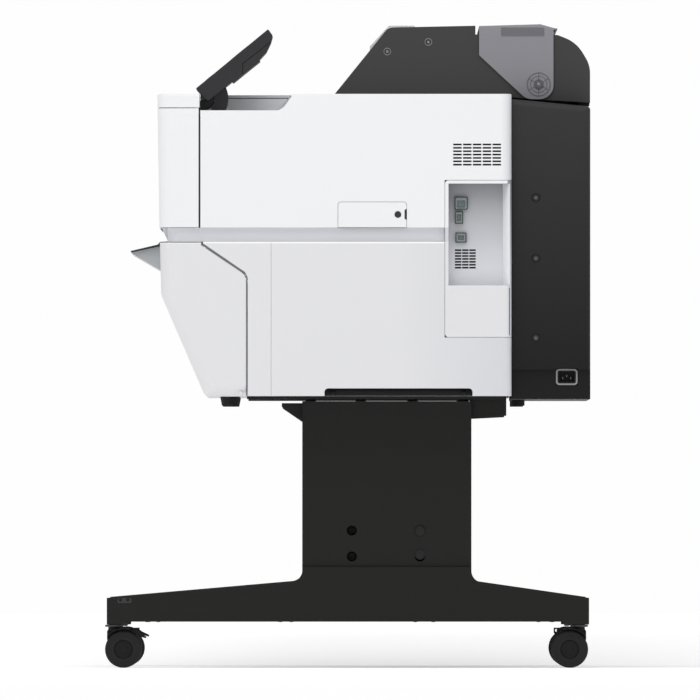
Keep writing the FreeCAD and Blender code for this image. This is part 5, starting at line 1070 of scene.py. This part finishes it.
class PLOTTER_OT_stand(Build, Operator):
    """Add the clips, bolts and screw covers of the stand"""
    bl_idname = "plotter.stand"
    bl_label = "Stand"

    def clip(self, hand, side):
        clip = bmesh.new()
        y0, y1, z0, z1 = -393.6 * MM, -369.7 * MM, 111.0 * MM, 119.6 * MM
        add_prism(clip, rounded(y0, y1, z0, z1, 2.6 * MM, 5), yz(hand), FOOT_FACE - 0.2 * MM, FOOT_FACE + 0.7 * MM,
                  0.3 * MM)
        finish_piece(clip, "foot_clip_" + side, "clip_grey", "root")
        holes = bmesh.new()
        for y in (-388.7 * MM, -376 * MM):
            add_prism(holes, rounded(y - 2.4 * MM, y + 2.4 * MM, z0 + 2.4 * MM, z1 - 0.6 * MM, 1.8 * MM, 5), yz(hand),
                      FOOT_FACE + 0.5 * MM, FOOT_FACE + 0.8 * MM)
        finish_piece(holes, "foot_clip_holes_" + side, "joint_shadow", "root")

    def bolts(self, hand, side, radius):
        bolts = bmesh.new()
        sole = {"toe": SOLE, "beam": SOLE + 6.5 * MM}
        places = [(-380.8, "toe"), (375.5, "toe"), (-342, "beam"), (-324, "beam"), (-115, "beam"), (-96, "beam"),
                  (116, "beam"), (147, "beam"), (327, "beam"), (350, "beam")]
        for y, level in places:
            small = radius * (1.0 if abs(y) > 330 else 0.75)
            add_turned(bolts, [(-3 * MM, 0), (-3 * MM, small), (1.4 * MM, small), (2.4 * MM, small * 0.8),
                               (2.6 * MM, 0)], (hand * (FOOT_FACE - 14 * MM), y * MM, sole[level]), (0, 0, -1), 6)
        finish_piece(bolts, "foot_bolts_" + side, "screw_steel", "root")

    def covers(self, hand, side):
        covers = bmesh.new()
        for z in (234.6, 193.7):
            add_turned(covers, [(-0.2 * MM, 0), (-0.2 * MM, 8.6 * MM), (2.0 * MM, 8.3 * MM), (2.4 * MM, 7.6 * MM),
                                (2.6 * MM, 0)], (hand * COLUMN_FACE, 124.1 * MM, z * MM), (hand, 0, 0), 40)
        finish_piece(covers, "column_screw_covers_" + side, "cap_black", "root")

    def execute(self, context):
        radius = self.fittings(context).bolt_head
        for side, hand in HANDS:
            self.clip(hand, side)
            self.bolts(hand, side, radius)
            self.covers(hand, side)
        return {"FINISHED"}


class PLOTTER_OT_casters(Build, Operator):
    """Fill the hubs of the wheels, ridge their treads and ring the swivels with their bearings"""
    bl_idname = "plotter.casters"
    bl_label = "Casters"

    def execute(self, context):
        hub = self.fittings(context).hub_cap
        for side in ("right", "left"):
            for end in ("front", "rear"):
                wheel = "caster_wheel_%s_%s" % (end, side)
                low, high = BOX[wheel]
                axle = (low + high) / 2
                caps = bmesh.new()
                for face, way in ((high.x, 1), (low.x, -1)):
                    profile = [(-2.9, 0.0), (-2.9, 1.0), (-1.2, 1.0), (-0.9, 0.965), (-1.9, 0.88), (-2.2, 0.5),
                               (-1.4, 0.42), (-1.0, 0.3), (-0.9, 0.0)]
                    add_turned(caps, [(along * MM, share * hub) for along, share in profile],
                               (face, axle.y, axle.z), (way, 0, 0), 48)
                finish_piece(caps, "hub_caps_%s_%s" % (end, side), "hub_black", wheel)
                rings = bmesh.new()
                for face, way in ((high.x, 1), (low.x, -1)):
                    for radius in (26.6, 22.4):
                        add_turned(rings, [(-0.3 * MM, (radius - 0.9) * MM), (0.15 * MM, (radius - 0.5) * MM),
                                           (0.15 * MM, (radius + 0.5) * MM), (-0.3 * MM, (radius + 0.9) * MM)],
                                   (face, axle.y, axle.z), (way, 0, 0), 64)
                finish_piece(rings, "tyre_ridges_%s_%s" % (end, side), "wheel_rubber", wheel)
                swivel = PLACE["swivel_%s_%s" % (end, side)]
                bearing = bmesh.new()
                add_turned(bearing, [(-4.2 * MM, 6 * MM), (-4.2 * MM, 14.6 * MM), (-3.4 * MM, 15.4 * MM),
                                     (-1.2 * MM, 15.4 * MM), (-0.4 * MM, 14.2 * MM), (-0.4 * MM, 6 * MM)],
                           (swivel.x, swivel.y, SOLE), (0, 0, 1), 40)
                finish_piece(bearing, "swivel_bearing_%s_%s" % (end, side), "bearing_steel",
                             "caster_fork_%s_%s" % (end, side))
        return {"FINISHED"}


class PLOTTER_OT_finishes(Operator):
    """Make the node groups and materials, and give each CAD node its finish"""
    bl_idname = "plotter.finishes"
    bl_label = "Finishes"
    bl_options = {"REGISTER", "UNDO"}

    def execute(self, context):
        build_finishes(context.scene.plotter_finish)
        for name, piece in NODES.items():
            piece.data.materials.clear()
            piece.data.materials.append(FINISH[FINISH_OF.get(name, SLOT[name])])
        return {"FINISHED"}


class PLOTTER_OT_stage(Operator):
    """Lay the floor, set the lights and place the camera"""
    bl_idname = "plotter.stage"
    bl_label = "Studio"
    bl_options = {"REGISTER", "UNDO"}

    def floor(self, settings):
        """A pale sheet that rises gently behind the left side, so its soft shadow is seen from the right."""
        mesh = bmesh.new()
        reach = 12.0
        profile = [(-reach, settings.rise)]
        near, far, steps = -0.56, -1.6, 24
        for step in range(steps + 1):
            share = step / steps
            profile.append((far + (near - far) * share, settings.rise * math.cos(math.pi / 2 * share)))
        profile.append((reach, 0.0))
        rows = [[mesh.verts.new((x, y, z)) for y in (-reach, reach)] for x, z in profile]
        for first, second in zip(rows, rows[1:]):
            mesh.faces.new((first[0], second[0], second[1], first[1]))
        data = bpy.data.meshes.new("floor")
        mesh.to_mesh(data)
        mesh.free()
        data.shade_smooth()
        floor = bpy.data.objects.new("floor", data)
        bpy.context.scene.collection.objects.link(floor)
        recipe = Recipe("studio_floor", Roughness=0.85)
        recipe.base(linear(254, 254, 254), drift=0.01)
        recipe.shader.inputs["Specular IOR Level"].default_value = 0.1
        recipe.shader.inputs["Emission Color"].default_value = (1, 1, 1, 1)
        recipe.shader.inputs["Emission Strength"].default_value = settings.glow
        data.materials.append(recipe.material)

    def lamp(self, name, place, size, watts, target=(0, 0, 0.55)):
        light = bpy.data.lights.new(name, "AREA")
        light.energy = watts
        light.shape = "RECTANGLE"
        light.size, light.size_y = size
        lamp = bpy.data.objects.new(name, light)
        lamp.location = place
        lamp.rotation_euler = (Vector(target) - Vector(place)).to_track_quat("-Z", "Y").to_euler()
        bpy.context.scene.collection.objects.link(lamp)

    def world(self, strength):
        world = bpy.data.worlds.new("studio")
        world.use_nodes = True
        tree = world.node_tree
        tree.nodes.clear()
        lift = node(tree, "SeparateXYZ")
        wire(tree, node(tree, "TexCoord").outputs["Generated"], lift.inputs[0])
        light = node(tree, "MapRange")
        for socket, setting in (("From Min", -1.0), ("From Max", 1.0), ("To Min", 0.1), ("To Max", 1.9)):
            light.inputs[socket].default_value = setting
        wire(tree, lift.outputs["Z"], light.inputs["Value"])
        even = node(tree, "Background", Color=(1, 1, 1, 1))
        wire(tree, maths(tree, "MULTIPLY", light.outputs["Result"], strength), even.inputs["Strength"])
        seen = node(tree, "Background", Color=(1, 1, 1, 1), Strength=0.99)
        choice = node(tree, "MixShader")
        wire(tree, node(tree, "LightPath").outputs["Is Camera Ray"], choice.inputs["Fac"])
        wire(tree, even.outputs[0], choice.inputs[1])
        wire(tree, seen.outputs[0], choice.inputs[2])
        wire(tree, choice.outputs[0], node(tree, "OutputWorld").inputs["Surface"])
        bpy.context.scene.world = world

    def camera(self, settings):
        data = bpy.data.cameras.new("camera")
        data.sensor_width = 36
        data.lens = settings.lens
        distance = settings.lens * settings.span / data.sensor_width
        data.clip_start, data.clip_end = distance * 0.5, distance * 2
        camera = bpy.data.objects.new("camera", data)
        aim = Vector((settings.plane, settings.aim_y, settings.aim_z))
        camera.location = Vector((settings.plane + distance, settings.aim_y, settings.eye))
        camera.rotation_euler = (aim - camera.location).to_track_quat("-Z", "Y").to_euler()
        bpy.context.scene.collection.objects.link(camera)
        bpy.context.scene.camera = camera

    def execute(self, context):
        settings = context.scene.plotter_stage
        self.floor(settings)
        self.world(settings.sky)
        self.lamp("key", (2.2, -0.4, 3.4), (2.0, 2.0), settings.key)
        self.camera(settings)
        view = context.scene.view_settings
        view.view_transform = "Standard"
        view.look = "None"
        return {"FINISHED"}


OPERATORS = (PLOTTER_OT_finishes, PLOTTER_OT_ports, PLOTTER_OT_vents, PLOTTER_OT_ink_joints,
             PLOTTER_OT_rear_screws, PLOTTER_OT_inlet, PLOTTER_OT_grips, PLOTTER_OT_tray,
             PLOTTER_OT_control_panel, PLOTTER_OT_roll_unit, PLOTTER_OT_stand, PLOTTER_OT_casters,
             PLOTTER_OT_stage)


class PLOTTER_PT_sidebar(Panel):
    bl_idname = "PLOTTER_PT_sidebar"
    bl_label = "Large format plotter"
    bl_space_type = "VIEW_3D"
    bl_region_type = "UI"
    bl_category = "Plotter"

    def draw(self, context):
        layout = self.layout
        scene = context.scene
        for title, settings in (("Colours", scene.plotter_finish), ("Fittings", scene.plotter_fittings),
                                ("Studio", scene.plotter_stage)):
            box = layout.box()
            box.label(text=title)
            for name in settings.bl_rna.properties.keys():
                if name not in ("rna_type", "name"):
                    box.prop(settings, name)
        for operator in OPERATORS:
            layout.operator(operator.bl_idname)


GROUPS = {"plotter_finish": FinishSettings, "plotter_fittings": FittingSettings, "plotter_stage": StageSettings}


def register():
    for settings in (*GROUPS.values(), *OPERATORS, PLOTTER_PT_sidebar):
        bpy.utils.register_class(settings)
    for name, settings in GROUPS.items():
        setattr(bpy.types.Scene, name, PointerProperty(type=settings))


def unregister():
    for name in GROUPS:
        delattr(bpy.types.Scene, name)
    for settings in (PLOTTER_PT_sidebar, *reversed(OPERATORS), *GROUPS.values()):
        bpy.utils.unregister_class(settings)


def main():
    register()
    for operator in OPERATORS:
        area, name = operator.bl_idname.split(".")
        getattr(getattr(bpy.ops, area), name)()


if __name__ == "__main__":
    main()
